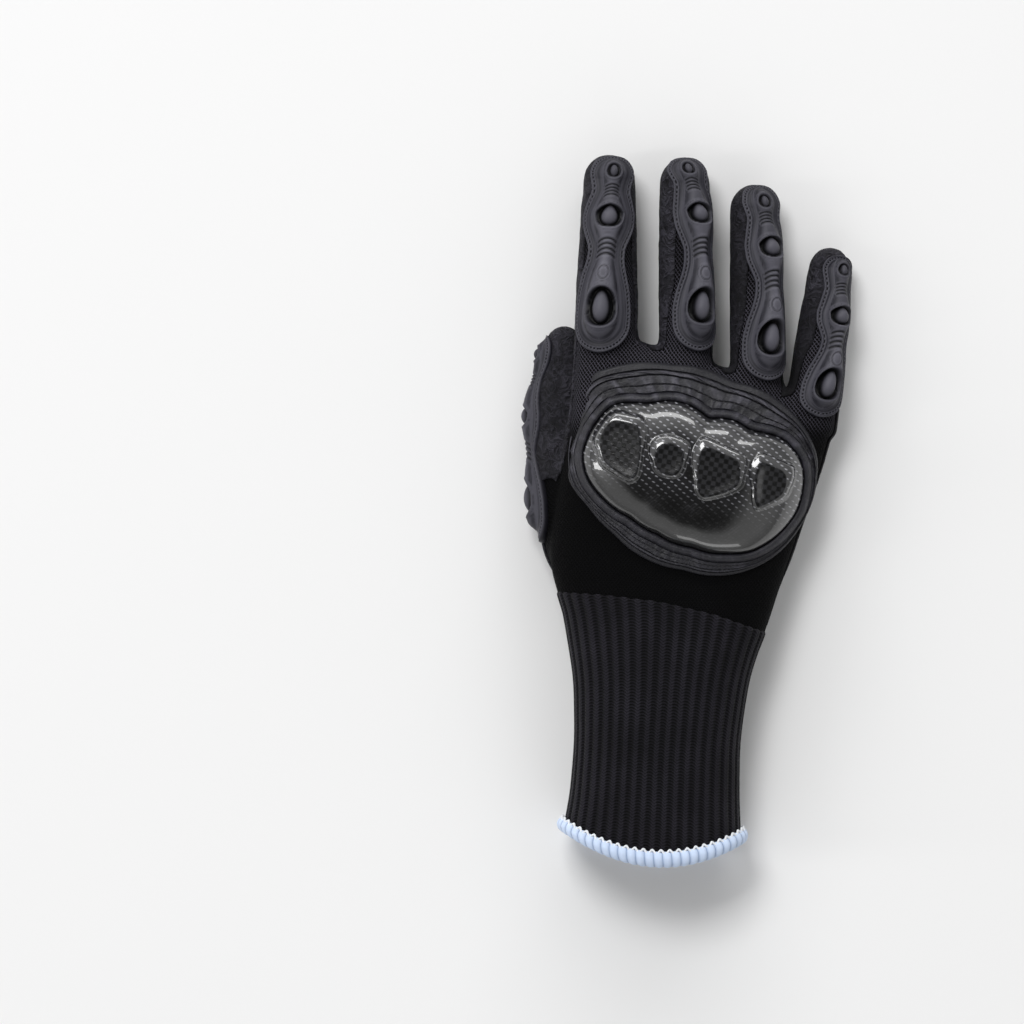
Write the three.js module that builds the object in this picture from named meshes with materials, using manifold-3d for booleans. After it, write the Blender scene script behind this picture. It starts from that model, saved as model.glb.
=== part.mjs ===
// Impact glove for the right hand, lying on its palm. Millimetres, +Z up, fingers towards +Y, thumb towards -X.
// A knitted hand on a ribbed cuff carries a dipped palm coating, a knuckle shell in its stitched
// surround, one moulded guard along each finger and the thumb, and a bound cuff edge.
import * as THREE from 'three';
import { mergeVertices } from 'three/addons/utils/BufferGeometryUtils.js';
import Module from 'manifold-3d';

// Driving dimensions of the knitted liner, which is the hand and its ribbed cuff.
const gloveLength = 250; // index fingertip to the lowest point of the cuff edge
const palmWidth = 95; // across the knuckles
const palmThick = 34; // back of the hand to the palm, at the heel of the hand
const linerWall = 1.4; // knitted wall
const rimBow = 10; // how far the middle of the cuff edge dips below its ends
const cuffTopLeft = 28; // where the ribbed cuff begins at the thumb's side, below the glove's middle
const cuffTopRight = 41; // and at the little finger's side
const ringSides = 18; // facets round the palm and the cuff
const fingerSides = 10; // facets round a finger
const liningShare = 0.8; // facets inside a finger as a share of these

// The dipped coating on the palm side.
const coatThick = 0.9;
const seatGap = 0.3; // clearance between any two pieces that touch
const coatWristDip = 62; // lowest point of the coating, below the glove's middle
const coatWristSide = 40; // where it ends at the sides of the wrist
const coatClimb = 0.8; // how far it climbs past the middle of the hand's thickness
const coatLap = 4.8; // how far past its middle a finger is coated, square to its guard
const coatTip = 11; // length of a fingertip that is coated all round
const thumbCoatEnd = 10; // where the coating of the back of the thumb ends

// The moulded guards.
const guardFlange = 1.5; // thickness of the stitched flange
const guardSink = 2.4; // how far its edges are carried into the hand before it is cut to the hand's shape
const guardRise = 3.2; // height of the raised spine above the flange
const podDepth = 1.7; // of the recess in a pod
const buttonRise = 0.5; // of the button above the spine
const grooveWidth = 0.9; // of the bellows between the pods
const grooveDepth = 1.2;

// The knuckle shell and what is sewn round it.
const shellLength = 77; // across the knuckles
const shellHeight = 7.2; // crown above its edge
const shellEdge = 2.6; // height of the edge above the back of the hand
const shellWall = 2;
const shellX = 2.8; // centre of the shell
const shellY = 11.7;
const knuckleRise = 2.6; // how far each knuckle stands out of the shell
const dishDepth = 1.1; // of the dished face on each knuckle
const surroundThick = 1.6;
const rootRoom = 1.4; // how far the surround keeps off the roots of the fingers
const skirt = 4; // how far the edges of these pieces follow the hand's side down
const weltWidth = 2.6; // of the raised lip round the shell
const weltHeight = 3.8;

// The bound edge of the cuff.
const bindingHeight = 6;
const bindingThick = 2; // of the binding on the outside of the cuff
const bindingInside = 1.2;
const bindingRound = 0.8; // of its edges
const bindingCover = 3.6; // how much of the cuff it takes in

const coatReach = seatGap + coatThick; // outer face of the coating above the liner
const guardSeat = coatReach + seatGap; // inner face of a guard above the liner

const wasm = await Module();
wasm.setup();

const knitMaterial = new THREE.MeshStandardMaterial({ color: 0x17171b, roughness: 0.92, metalness: 0 });
const coatMaterial = new THREE.MeshStandardMaterial({ color: 0x232328, roughness: 0.62, metalness: 0 });
const guardMaterial = new THREE.MeshStandardMaterial({ color: 0x3a3a42, roughness: 0.48, metalness: 0 });
const shellMaterial = new THREE.MeshStandardMaterial({ color: 0x1b1b1e, roughness: 0.08, metalness: 0.1 });
const leatherMaterial = new THREE.MeshStandardMaterial({ color: 0x26262c, roughness: 0.55, metalness: 0 });
const bindingMaterial = new THREE.MeshStandardMaterial({ color: 0xbfd8f2, roughness: 0.85, metalness: 0 });

// Palm and cuff sections from the webs to the cuff edge. yLeft and yRight are shares of gloveLength, left and
// right of palmWidth, bow of rimBow, thick and the heights of the two ends of a section of palmThick.
const palmRows = [
  { yLeft: 0.256, yRight: 0.142, left: -0.378, right: 0.548, thick: 0.12, midLeft: 0.67, midRight: 0.36, bow: -0.2 },
  { yLeft: 0.246, yRight: 0.134, left: -0.39, right: 0.55, thick: 0.4, midLeft: 0.68, midRight: 0.37, bow: -0.2 },
  { yLeft: 0.216, yRight: 0.108, left: -0.4, right: 0.532, thick: 0.6, midLeft: 0.71, midRight: 0.4, bow: -0.1 },
  { yLeft: 0.152, yRight: 0.064, left: -0.41, right: 0.5, thick: 0.73, midLeft: 0.72, midRight: 0.43, bow: 0 },
  { yLeft: 0.072, yRight: 0.004, left: -0.44, right: 0.445, thick: 0.86, midLeft: 0.65, midRight: 0.43, bow: 0 },
  { yLeft: -0.016, yRight: -0.056, left: -0.49, right: 0.39, thick: 0.94, midLeft: 0.57, midRight: 0.455, bow: 0 },
  { yLeft: -0.072, yRight: -0.096, left: -0.498, right: 0.355, thick: 0.98, midLeft: 0.53, midRight: 0.475, bow: 0 },
  { yLeft: -0.14, yRight: -0.15, left: -0.448, right: 0.31, thick: 1, midLeft: 0.505, midRight: 0.49, bow: 0 },
  { yLeft: -0.232, yRight: -0.232, left: -0.407, right: 0.237, thick: 1, midLeft: 0.5, midRight: 0.5, bow: 0.2 },
  { yLeft: -0.318, yRight: -0.32, left: -0.406, right: 0.202, thick: 1, midLeft: 0.5, midRight: 0.5, bow: 0.5 },
  { yLeft: -0.39, yRight: -0.398, left: -0.422, right: 0.199, thick: 1.01, midLeft: 0.505, midRight: 0.505, bow: 0.8 },
  { yLeft: -0.44, yRight: -0.458, left: -0.446, right: 0.205, thick: 1.02, midLeft: 0.51, midRight: 0.51, bow: 1 },
];
const palmPower = 2.5; // squareness of a section, 2 being an ellipse
const fingerPower = 2.3;

// Fingers from their roots inside the palm to their tips. The y and lengths are shares of gloveLength, the rest
// shares of palmWidth. Lifts are of the underside above the resting face. A guard has its length along the
// finger, its half width, its roll in degrees towards the little finger at its tip, middle and base, and the
// angle in radians that it wraps over the fingertip.
const fingers = {
  index: {
    baseX: -0.2947, tipX: -0.2768, baseY: 0.152, length: 0.3432,
    baseHalf: 0.1074, tipHalf: 0.0821, baseLift: 0.1316, tipLift: 0.0126,
    guard: {
      length: 0.2892, half: 0.1053, tipRoll: 10, midRoll: 2, baseRoll: -8, wrap: 1.05,
    },
  },
  middle: {
    baseX: 0.0063, tipX: 0, baseY: 0.136, length: 0.3536,
    baseHalf: 0.0895, tipHalf: 0.0811, baseLift: 0.1211, tipLift: 0.0042,
    guard: {
      length: 0.2896, half: 0.0958, tipRoll: 3, midRoll: 27, baseRoll: 25, wrap: 1.25,
    },
  },
  ring: {
    baseX: 0.2674, tipX: 0.2589, baseY: 0.104, length: 0.3496,
    baseHalf: 0.0884, tipHalf: 0.0779, baseLift: 0.0895, tipLift: -0.0042,
    guard: {
      length: 0.288, half: 0.0958, tipRoll: 10, midRoll: 29, baseRoll: 22, wrap: 1.1,
    },
  },
  little: {
    baseX: 0.4589, tipX: 0.5358, baseY: 0.112, length: 0.2536,
    baseHalf: 0.0884, tipHalf: 0.0621, baseLift: 0.0474, tipLift: -0.0053,
    guard: {
      length: 0.2328, half: 0.0874, tipRoll: 30, midRoll: 33, baseRoll: 15, wrap: 0.65,
    },
  },
};
const fingerTaper = 2; // power of the taper from baseHalf to tipHalf
const fingerFlat = 0.95; // thickness of a finger as a share of its width

// The thumb lies beside and partly under the palm. at is a share of the distance from its root to its rounded
// tip, x its middle as a share of palmWidth, half and high its half sizes as shares of thumbHalf.
const thumbHalf = 10.4;
const thumbSink = 0.9; // how much of the thumb's underside is pressed flat
const thumbRows = [
  { at: 0, x: -0.3263, half: 1.05, high: 1.05 },
  { at: 0.1, x: -0.3621, half: 1.27, high: 1.2 },
  { at: 0.26, x: -0.3958, half: 1.2, high: 1.12 },
  { at: 0.65, x: -0.4358, half: 1.03, high: 0.86 },
  { at: 0.84, x: -0.4483, half: 0.89, high: 0.79 },
  { at: 1, x: -0.4421, half: 0.62, high: 0.64 },
];
const thumb = {
  baseY: -0.1, length: 0.356, tipHalf: 0.1263,
  guard: { length: 0.3, half: 0.0947, tipRoll: -70, midRoll: -80, baseRoll: -82, wrap: 0.8 },
};

// A digit's sizes in mm.
function sized(shares) {
  const long = { baseY: shares.baseY * gloveLength, length: shares.length * gloveLength };
  const wide = {};
  for (const key of ['baseX', 'tipX', 'baseHalf', 'tipHalf', 'baseLift', 'tipLift']) {
    if (key in shares) wide[key] = shares[key] * palmWidth;
  }
  const { length, half } = shares.guard;
  return { ...long, ...wide, guard: { ...shares.guard, length: length * gloveLength, half: half * palmWidth } };
}
const digits = Object.fromEntries(Object.entries({ ...fingers, thumb }).map(([name, d]) => [name, sized(d)]));
digits.thumb.rows = thumbRows.map((row) => ({ ...row, x: row.x * palmWidth }));

// One moulded guard from its fingertip end. along is a share of its length, the half widths of its flange
// and of its spine are shares of its half width, and rise is a share of guardRise.
const guardRows = [
  { along: 0, flange: 0.3, spine: 0.12, rise: 0 },
  { along: 0.045, flange: 0.6, spine: 0.27, rise: 0.3 },
  { along: 0.13, flange: 0.79, spine: 0.37, rise: 0.7 },
  { along: 0.24, flange: 0.69, spine: 0.27, rise: 0.62 },
  { along: 0.335, flange: 0.85, spine: 0.55, rise: 1 },
  { along: 0.4, flange: 0.94, spine: 0.46, rise: 0.94 },
  { along: 0.46, flange: 0.86, spine: 0.28, rise: 0.66 },
  { along: 0.55, flange: 0.76, spine: 0.29, rise: 0.64 },
  { along: 0.68, flange: 0.92, spine: 0.52, rise: 0.98 },
  { along: 0.8, flange: 1, spine: 0.6, rise: 1.1 },
  { along: 0.89, flange: 0.94, spine: 0.48, rise: 0.76 },
  { along: 0.95, flange: 0.74, spine: 0.2, rise: 0.05 },
  { along: 1, flange: 0.25, spine: 0.08, rise: 0 },
];
const spineTop = 0.66; // half width of the spine's top as a share of its foot
const spineCrown = 1.14; // height of its middle as a share of its shoulders

// Pods along a guard: where they sit, and the half sizes of the recess and of the button in it, as shares of
// the guard's half width.
const pods = [
  { along: 0.115, recessWide: 0.23, recessLong: 0.27, buttonWide: 0.12, buttonLong: 0.21, sides: 6 },
  { along: 0.335, recessWide: 0.44, recessLong: 0.4, buttonWide: 0.24, buttonLong: 0.33, sides: 8 },
  { along: 0.78, recessWide: 0.47, recessLong: 0.67, buttonWide: 0.28, buttonLong: 0.58, sides: 10 },
];

// Bellows: the grooves across the neck of a guard. pitch and half are shares of the guard's half width.
const bellows = [
  { along: 0.49, count: 3, pitch: 0.23, half: 0.27 },
];

// Outlines of the shell and of its surround round the shell's centre: turn is the angle in degrees from the
// little finger's side, reach a share of shellLength.
const shellOutline = [
  { turn: 0, reach: 0.5 }, { turn: 8, reach: 0.495 }, { turn: 22, reach: 0.448 }, { turn: 39, reach: 0.333 },
  { turn: 55, reach: 0.315 }, { turn: 76, reach: 0.273 }, { turn: 92, reach: 0.322 }, { turn: 105, reach: 0.358 },
  { turn: 122, reach: 0.391 }, { turn: 138, reach: 0.492 }, { turn: 155, reach: 0.51 }, { turn: 169, reach: 0.512 },
  { turn: 180, reach: 0.481 }, { turn: 194, reach: 0.415 }, { turn: 212, reach: 0.338 }, { turn: 237, reach: 0.302 },
  { turn: 268, reach: 0.312 }, { turn: 293, reach: 0.371 }, { turn: 308, reach: 0.421 }, { turn: 325, reach: 0.458 },
  { turn: 343, reach: 0.493 },
];
const surroundOutline = [
  { turn: 0, reach: 0.561 }, { turn: 10, reach: 0.573 }, { turn: 27, reach: 0.55 }, { turn: 48, reach: 0.512 },
  { turn: 67, reach: 0.472 }, { turn: 86, reach: 0.499 }, { turn: 101, reach: 0.521 }, { turn: 124, reach: 0.612 },
  { turn: 136, reach: 0.665 }, { turn: 152, reach: 0.618 }, { turn: 167, reach: 0.588 }, { turn: 180, reach: 0.572 },
  { turn: 195, reach: 0.495 }, { turn: 215, reach: 0.441 }, { turn: 241, reach: 0.425 }, { turn: 263, reach: 0.418 },
  { turn: 292, reach: 0.471 }, { turn: 317, reach: 0.512 }, { turn: 337, reach: 0.535 }, { turn: 352, reach: 0.556 },
];
const outlineSides = 24;
const domeRows = [
  { out: 1, rise: 0 }, { out: 0.9, rise: 0.5 }, { out: 0.68, rise: 0.86 }, { out: 0.34, rise: 1 },
];

// The four knuckles of the shell: place and half sizes as shares of shellLength, lean in degrees.
const knuckles = [
  { x: -0.315, y: 0.105, wide: 0.102, long: 0.136, lean: 18 },
  { x: -0.113, y: 0.082, wide: 0.066, long: 0.083, lean: 8 },
  { x: 0.113, y: 0.028, wide: 0.102, long: 0.128, lean: 12 },
  { x: 0.352, y: -0.032, wide: 0.082, long: 0.118, lean: -8 },
];
const knuckleRows = [{ out: 0.88, rise: 0.75 }, { out: 0.7, rise: 1 }];
const knuckleSides = 10;

const lerp = THREE.MathUtils.lerp;
const radians = THREE.MathUtils.degToRad;
const up = new THREE.Vector3(0, 0, 1);

// A geometry as a solid, turned to face out.
function toSolid(geometry) {
  const bare = geometry.clone();
  for (const name of Object.keys(bare.attributes)) {
    if (name !== 'position') bare.deleteAttribute(name);
  }
  const merged = mergeVertices(bare, 1e-4);
  const triVerts = new Uint32Array(merged.index.array);
  const vertProperties = merged.attributes.position.array;
  const made = new wasm.Manifold(new wasm.Mesh({ numProp: 3, vertProperties, triVerts }));
  if (made.volume() >= 0) return made;
  for (let i = 0; i < triVerts.length; i += 3) {
    [triVerts[i + 1], triVerts[i + 2]] = [triVerts[i + 2], triVerts[i + 1]];
  }
  return new wasm.Manifold(new wasm.Mesh({ numProp: 3, vertProperties, triVerts }));
}

function toGeometry(solid) {
  const made = solid.getMesh();
  const geometry = new THREE.BufferGeometry();
  geometry.setAttribute('position', new THREE.BufferAttribute(made.vertProperties.slice(), 3));
  geometry.setIndex(new THREE.BufferAttribute(made.triVerts.slice(), 1));
  geometry.computeVertexNormals();
  return geometry;
}

// A closed solid through rings of points, capped at both ends, or joined end to end when closed is true.
function loft(rings, closed = false) {
  const sides = rings[0].length;
  const points = rings.flat();
  const index = [];
  const bands = closed ? rings.length : rings.length - 1;
  for (let i = 0; i < bands; i += 1) {
    for (let k = 0; k < sides; k += 1) {
      const next = ((i + 1) % rings.length) * sides;
      const side = (k + 1) % sides;
      index.push(i * sides + k, i * sides + side, next + side, i * sides + k, next + side, next + k);
    }
  }
  if (!closed) {
    for (const [first, turn] of [[0, 1], [(rings.length - 1) * sides, -1]]) {
      const middle = new THREE.Vector3();
      for (let k = 0; k < sides; k += 1) middle.addScaledVector(points[first + k], 1 / sides);
      points.push(middle);
      for (let k = 0; k < sides; k += 1) {
        const pair = [first + ((k + 1) % sides), first + k];
        if (turn < 0) pair.reverse();
        index.push(points.length - 1, ...pair);
      }
    }
  }
  const geometry = new THREE.BufferGeometry().setFromPoints(points);
  geometry.setIndex(index);
  return toSolid(geometry);
}

// The point of a superellipse of half size one at an angle.
function roundPoint(angle, power) {
  const c = Math.cos(angle);
  const s = Math.sin(angle);
  return [Math.sign(c) * Math.abs(c) ** (2 / power), Math.sign(s) * Math.abs(s) ** (2 / power)];
}

// Height of the flattened underside for a surface that lies offset outside the liner.
const floorOf = (offset) => Math.max(coatReach - offset, 0);

// One ring of the palm or the cuff, offset outwards and slid down the hand.
function palmRing(row, offset, slide = 0) {
  const ring = [];
  const half = ((row.right - row.left) * palmWidth) / 2 + offset;
  const middle = ((row.right + row.left) * palmWidth) / 2;
  for (let k = 0; k < ringSides; k += 1) {
    const [across, high] = roundPoint(((k + 0.5) * 2 * Math.PI) / ringSides, palmPower);
    const share = (across + 1) / 2;
    const y = lerp(row.yLeft, row.yRight, share) * gloveLength - row.bow * rimBow * (1 - across ** 2);
    const z = lerp(row.midLeft, row.midRight, share) * palmThick + high * ((row.thick * palmThick) / 2 + offset);
    ring.push(new THREE.Vector3(middle + across * half, y - slide, Math.max(z, floorOf(offset))));
  }
  return ring;
}

// Palm and cuff. The webs move with the offset, and a reach carries the open end past the cuff's edge.
function palmSolid(offset, reach = 0) {
  const rings = palmRows.map((row, i) => palmRing(row, offset, i === 0 ? -offset : 0));
  if (reach) rings.push(palmRing(palmRows.at(-1), offset, reach));
  return loft(rings);
}

// Centre and half sizes of a finger or the thumb at a share of the way from its root to its rounded tip.
function digitAt(digit, share) {
  const s = Math.min(Math.max(share, 0), 1);
  if (digit.rows) {
    const i = Math.max(digit.rows.findIndex((row) => row.at >= s), 1);
    const [a, b] = [digit.rows[i - 1], digit.rows[i]];
    const t = (s - a.at) / (b.at - a.at);
    const high = lerp(a.high, b.high, t) * thumbHalf;
    const half = lerp(a.half, b.half, t) * thumbHalf;
    const centre = new THREE.Vector3(lerp(a.x, b.x, t), digit.baseY + straightOf(digit) * share, 0);
    centre.z = high + coatReach - thumbSink;
    return { centre, half, high };
  }
  const half = lerp(digit.baseHalf, digit.tipHalf, s ** fingerTaper);
  const high = half * fingerFlat;
  const centre = new THREE.Vector3(
    lerp(digit.baseX, digit.tipX, share),
    digit.baseY + straightOf(digit) * share,
    lerp(digit.baseLift, digit.tipLift, share) + high + coatReach,
  );
  return { centre, half, high };
}

const capOf = (digit) => digit.tipHalf;
const straightOf = (digit) => digit.length - capOf(digit);

// The directions along a digit and across it, level with the resting face.
function digitAxes(digit) {
  if (digit.rows) return { ahead: new THREE.Vector3(0, 1, 0), across: new THREE.Vector3(1, 0, 0) };
  const ahead = digitAt(digit, 1).centre.sub(digitAt(digit, 0).centre).setZ(0).normalize();
  return { ahead, across: new THREE.Vector3(ahead.y, -ahead.x, 0) };
}

function digitRing(centre, across, half, high, offset) {
  const ring = [];
  const sides = offset < 0 ? Math.round(fingerSides * liningShare) : fingerSides;
  for (let k = 0; k < sides; k += 1) {
    const [a, h] = roundPoint(((k + 0.5) * 2 * Math.PI) / sides, fingerPower);
    const point = centre.clone().addScaledVector(across, a * half);
    point.z = Math.max(point.z + h * high, floorOf(offset));
    ring.push(point);
  }
  return ring;
}

function digitSolid(digit, offset) {
  const { ahead, across } = digitAxes(digit);
  const shares = digit.rows ? digit.rows.map((row) => row.at) : [0, 0.5, 1];
  const rings = shares.map((share) => {
    const { centre, half, high } = digitAt(digit, share);
    if (share === 0) centre.addScaledVector(ahead, -offset);
    return digitRing(centre, across, half + offset, high + offset, offset);
  });
  const end = digitAt(digit, 1);
  for (const turn of [0.55, 1.05, 1.48]) {
    const centre = end.centre.clone().addScaledVector(ahead, (capOf(digit) + offset) * Math.sin(turn));
    const shrink = Math.cos(turn);
    rings.push(digitRing(centre, across, (end.half + offset) * shrink, (end.high + offset) * shrink, offset));
  }
  return loft(rings);
}

// The whole hand, offset outwards. A reach opens the cuff's end.
function handSolid(offset, reach = 0) {
  let hand = palmSolid(offset, reach);
  for (const digit of Object.values(digits)) hand = hand.add(digitSolid(digit, offset));
  return hand;
}

// A point above a digit's surface: walk is the distance from its guard's tip end, angle the turn from straight
// up towards the little finger, offset the height above the liner.
function digitPoint(digit, walk, angle, offset) {
  const { ahead, across } = digitAxes(digit);
  const end = digitAt(digit, 1);
  const radius = capOf(digit) + guardSeat + guardFlange;
  const wrapped = digit.guard.wrap * radius;
  const turn = Math.max(digit.guard.wrap - walk / radius, 0);
  const { centre, half, high } = walk > wrapped ? digitAt(digit, 1 - (walk - wrapped) / straightOf(digit)) : end;
  const a = (half + offset) * Math.cos(turn);
  const b = (high + offset) * Math.cos(turn);
  const s = Math.sin(angle);
  const c = Math.cos(angle);
  const reach = (Math.abs(s / a) ** fingerPower + Math.abs(c / b) ** fingerPower) ** (-1 / fingerPower);
  const point = centre.clone().addScaledVector(ahead, (capOf(digit) + offset) * Math.sin(turn));
  return point.addScaledVector(across, reach * s).addScaledVector(up, reach * c);
}

// Roll of a guard at a share of its length, and the turn that carries a sideways distance on its flange.
function guardTurn(digit, along, sideways) {
  const { length, tipRoll, midRoll, baseRoll, wrap } = digit.guard;
  const roll = along < 0.35 ? lerp(tipRoll, midRoll, along / 0.35) : lerp(midRoll, baseRoll, (along - 0.35) / 0.65);
  const radius = capOf(digit) + guardSeat + guardFlange;
  const turn = Math.max(wrap - (along * length) / radius, 0);
  const wrapped = wrap * radius;
  const share = Math.min(1 - (along * length - wrapped) / straightOf(digit), 1);
  const around = (digitAt(digit, share).half + guardSeat + guardFlange) * Math.cos(turn);
  return radians(roll) + Math.asin(THREE.MathUtils.clamp(sideways / around, -0.93, 0.93));
}

// A point of a guard: along and sideways as above, height above the guard's seat.
function guardPoint(digit, along, sideways, height) {
  const angle = guardTurn(digit, along, sideways);
  return digitPoint(digit, along * digit.guard.length, angle, guardSeat + height);
}

// The frame on top of a guard at a place: its point and its sideways, forward and outward directions.
function guardFrame(digit, along, height) {
  const origin = guardPoint(digit, along, 0, height);
  const behind = guardPoint(digit, along + 0.01, 0, height);
  const forward = guardPoint(digit, along - 0.01, 0, height).sub(behind).normalize();
  const step = digit.guard.half / 20;
  const sideways = guardPoint(digit, along, step, height).sub(guardPoint(digit, along, -step, height));
  sideways.addScaledVector(forward, -sideways.dot(forward)).normalize();
  const outward = new THREE.Vector3().crossVectors(sideways, forward).normalize();
  return new THREE.Matrix4().makeBasis(sideways, forward, outward).setPosition(origin);
}

function rowAt(rows, along) {
  const i = Math.max(rows.findIndex((row) => row.along >= along), 1);
  const t = (along - rows[i - 1].along) / (rows[i].along - rows[i - 1].along);
  return Object.fromEntries(Object.keys(rows[i]).map((key) => [key, lerp(rows[i - 1][key], rows[i][key], t)]));
}

// Height of a guard's spine above its seat.
const spineHeight = (row) => guardFlange + row.rise * guardRise * spineCrown;

// An ellipsoid with its three half sizes, on a frame.
function ellipsoid(frame, wide, long, deep, sides) {
  const ball = new THREE.SphereGeometry(1, sides, 4);
  ball.rotateX(Math.PI / 2);
  ball.scale(wide, long, deep);
  ball.applyMatrix4(frame);
  return toSolid(ball);
}

// One guard: flange, spine, pods with their buttons, and the bellows, seated on the hand below it.
function guardSolid(digit, hand) {
  const { half, length } = digit.guard;
  const sunk = guardSeat + guardSink;
  const rings = guardRows.map((row) => {
    const flange = row.flange * half;
    const foot = Math.min(row.spine * half, flange * 0.9);
    const top = guardFlange + row.rise * guardRise;
    const profile = [
      [-flange, -sunk], [-flange, guardFlange], [-foot, guardFlange], [-foot * spineTop, top],
      [0, spineHeight(row)], [foot * spineTop, top], [foot, guardFlange], [flange, guardFlange], [flange, -sunk],
    ];
    return profile.map(([sideways, height]) => guardPoint(digit, row.along, sideways, height));
  });
  let guard = loft(rings);
  for (const pod of pods) {
    const high = spineHeight(rowAt(guardRows, pod.along));
    const frame = guardFrame(digit, pod.along, high);
    guard = guard.subtract(ellipsoid(frame, pod.recessWide * half, pod.recessLong * half, podDepth, pod.sides));
    const seat = guardFrame(digit, pod.along, high - podDepth);
    const deep = podDepth + buttonRise;
    guard = guard.add(ellipsoid(seat, pod.buttonWide * half, pod.buttonLong * half, deep, 6));
  }
  for (const neck of bellows) {
    for (let i = 0; i < neck.count; i += 1) {
      const along = neck.along + ((i - (neck.count - 1) / 2) * neck.pitch * half) / length;
      const frame = guardFrame(digit, along, spineHeight(rowAt(guardRows, along)));
      const groove = new THREE.BoxGeometry(2 * neck.half * half, grooveWidth, 2 * grooveDepth);
      groove.applyMatrix4(frame);
      guard = guard.subtract(toSolid(groove));
    }
  }
  return guard.subtract(hand);
}

// Height of a finger's back at a place, or nothing beside it.
function fingerHeight(digit, x, y) {
  const share = (y - digit.baseY) / straightOf(digit);
  const { centre, half, high } = digitAt(digit, share);
  const across = Math.abs(x - centre.x) / (half + rootRoom);
  const round = (1 - Math.min(across, 1) ** fingerPower) ** (1 / fingerPower);
  return share < 0 || across > 1 ? 0 : centre.z + (high + rootRoom / 2) * round;
}

// Height of the liner's back at a place, between the palm's sections or on a finger's root.
function backHeight(x, y) {
  const spots = palmRows.map((row) => {
    const half = ((row.right - row.left) * palmWidth) / 2;
    const across = THREE.MathUtils.clamp((x - ((row.right + row.left) * palmWidth) / 2) / half, -0.97, 0.97);
    const share = (across + 1) / 2;
    const high = (1 - Math.abs(across) ** palmPower) ** (1 / palmPower);
    return {
      y: lerp(row.yLeft, row.yRight, share) * gloveLength - row.bow * rimBow * (1 - across ** 2),
      z: lerp(row.midLeft, row.midRight, share) * palmThick + (high * row.thick * palmThick) / 2,
    };
  });
  const i = Math.max(spots.findIndex((spot) => spot.y <= y), 1);
  const t = THREE.MathUtils.clamp((spots[i - 1].y - y) / (spots[i - 1].y - spots[i].y), 0, 1);
  const palm = lerp(spots[i - 1].z, spots[i].z, t);
  return Math.max(palm, ...Object.keys(fingers).map((name) => fingerHeight(digits[name], x, y)));
}

// Reach of an outline at an angle, eased between its rows.
function outlineReach(outline, angle) {
  const turn = ((THREE.MathUtils.radToDeg(angle) % 360) + 360) % 360;
  const i = outline.findLastIndex((row) => row.turn <= turn);
  const a = outline[i];
  const b = outline[(i + 1) % outline.length];
  const span = (b.turn - a.turn + 360) % 360;
  return lerp(a.reach, b.reach, (turn - a.turn) / span) * shellLength;
}

// A point of an outline, moved outwards by a distance square to it and shrunk towards the centre.
function outlinePoint(outline, angle, outwards = 0, shrink = 1) {
  const spot = (t) => new THREE.Vector2(Math.cos(t), Math.sin(t)).multiplyScalar(outlineReach(outline, t));
  const along = spot(angle + 0.08).sub(spot(angle - 0.08)).normalize();
  const point = spot(angle).multiplyScalar(shrink).add(new THREE.Vector2(along.y, -along.x).multiplyScalar(outwards));
  return new THREE.Vector2(point.x + shellX, point.y + shellY);
}

// A ring of an outline, its height above the back of the hand given.
function outlineRing(outline, outwards, height, shrink = 1) {
  const ring = [];
  for (let k = 0; k < outlineSides; k += 1) {
    const { x, y } = outlinePoint(outline, (k * 2 * Math.PI) / outlineSides, outwards, shrink);
    ring.push(new THREE.Vector3(x, y, backHeight(x, y) + height));
  }
  return ring;
}

// The dome of the shell, its edge moved inwards and its top lowered by a wall.
function domeSolid(wall, sunk, rows = domeRows) {
  const rings = [outlineRing(shellOutline, -wall, -sunk)];
  for (const { out, rise } of rows) {
    rings.push(outlineRing(shellOutline, -wall, shellEdge + rise * shellHeight - wall, out));
  }
  return loft(rings);
}

// Height of the dome at a place on it.
function domeHeight(x, y) {
  const angle = Math.atan2(y - shellY, x - shellX);
  const out = Math.min(Math.hypot(x - shellX, y - shellY) / outlineReach(shellOutline, angle), 1);
  const i = Math.max(domeRows.findLastIndex((row) => row.out >= out), 0);
  const outer = domeRows[i];
  const inner = domeRows[i + 1] ?? { out: 0, rise: 1 };
  const rise = lerp(inner.rise, outer.rise, (out - inner.out) / (outer.out - inner.out));
  return backHeight(x, y) + shellEdge + rise * shellHeight;
}

// One knuckle of the shell: a low oval with a dished top, following the dome.
function knuckleSolid(knuckle) {
  const x = shellX + knuckle.x * shellLength;
  const y = shellY + knuckle.y * shellLength;
  const dish = { out: 0.42, rise: (knuckleRise - dishDepth) / knuckleRise };
  const rings = [{ out: 1, rise: -0.45 }, ...knuckleRows, dish].map(({ out, rise }) => {
    const ring = [];
    for (let k = 0; k < knuckleSides; k += 1) {
      const angle = (k * 2 * Math.PI) / knuckleSides;
      const spot = new THREE.Vector2(Math.cos(angle) * knuckle.wide, Math.sin(angle) * knuckle.long);
      spot.multiplyScalar(shellLength * out).rotateAround(new THREE.Vector2(), radians(knuckle.lean));
      const level = domeHeight(x + spot.x, y + spot.y);
      ring.push(new THREE.Vector3(x + spot.x, y + spot.y, level + rise * knuckleRise));
    }
    return ring;
  });
  return loft(rings);
}

const root = new THREE.Group();
function place(name, solid, material) {
  const mesh = new THREE.Mesh(toGeometry(solid), material);
  mesh.name = name;
  root.add(mesh);
  return solid;
}

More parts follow.
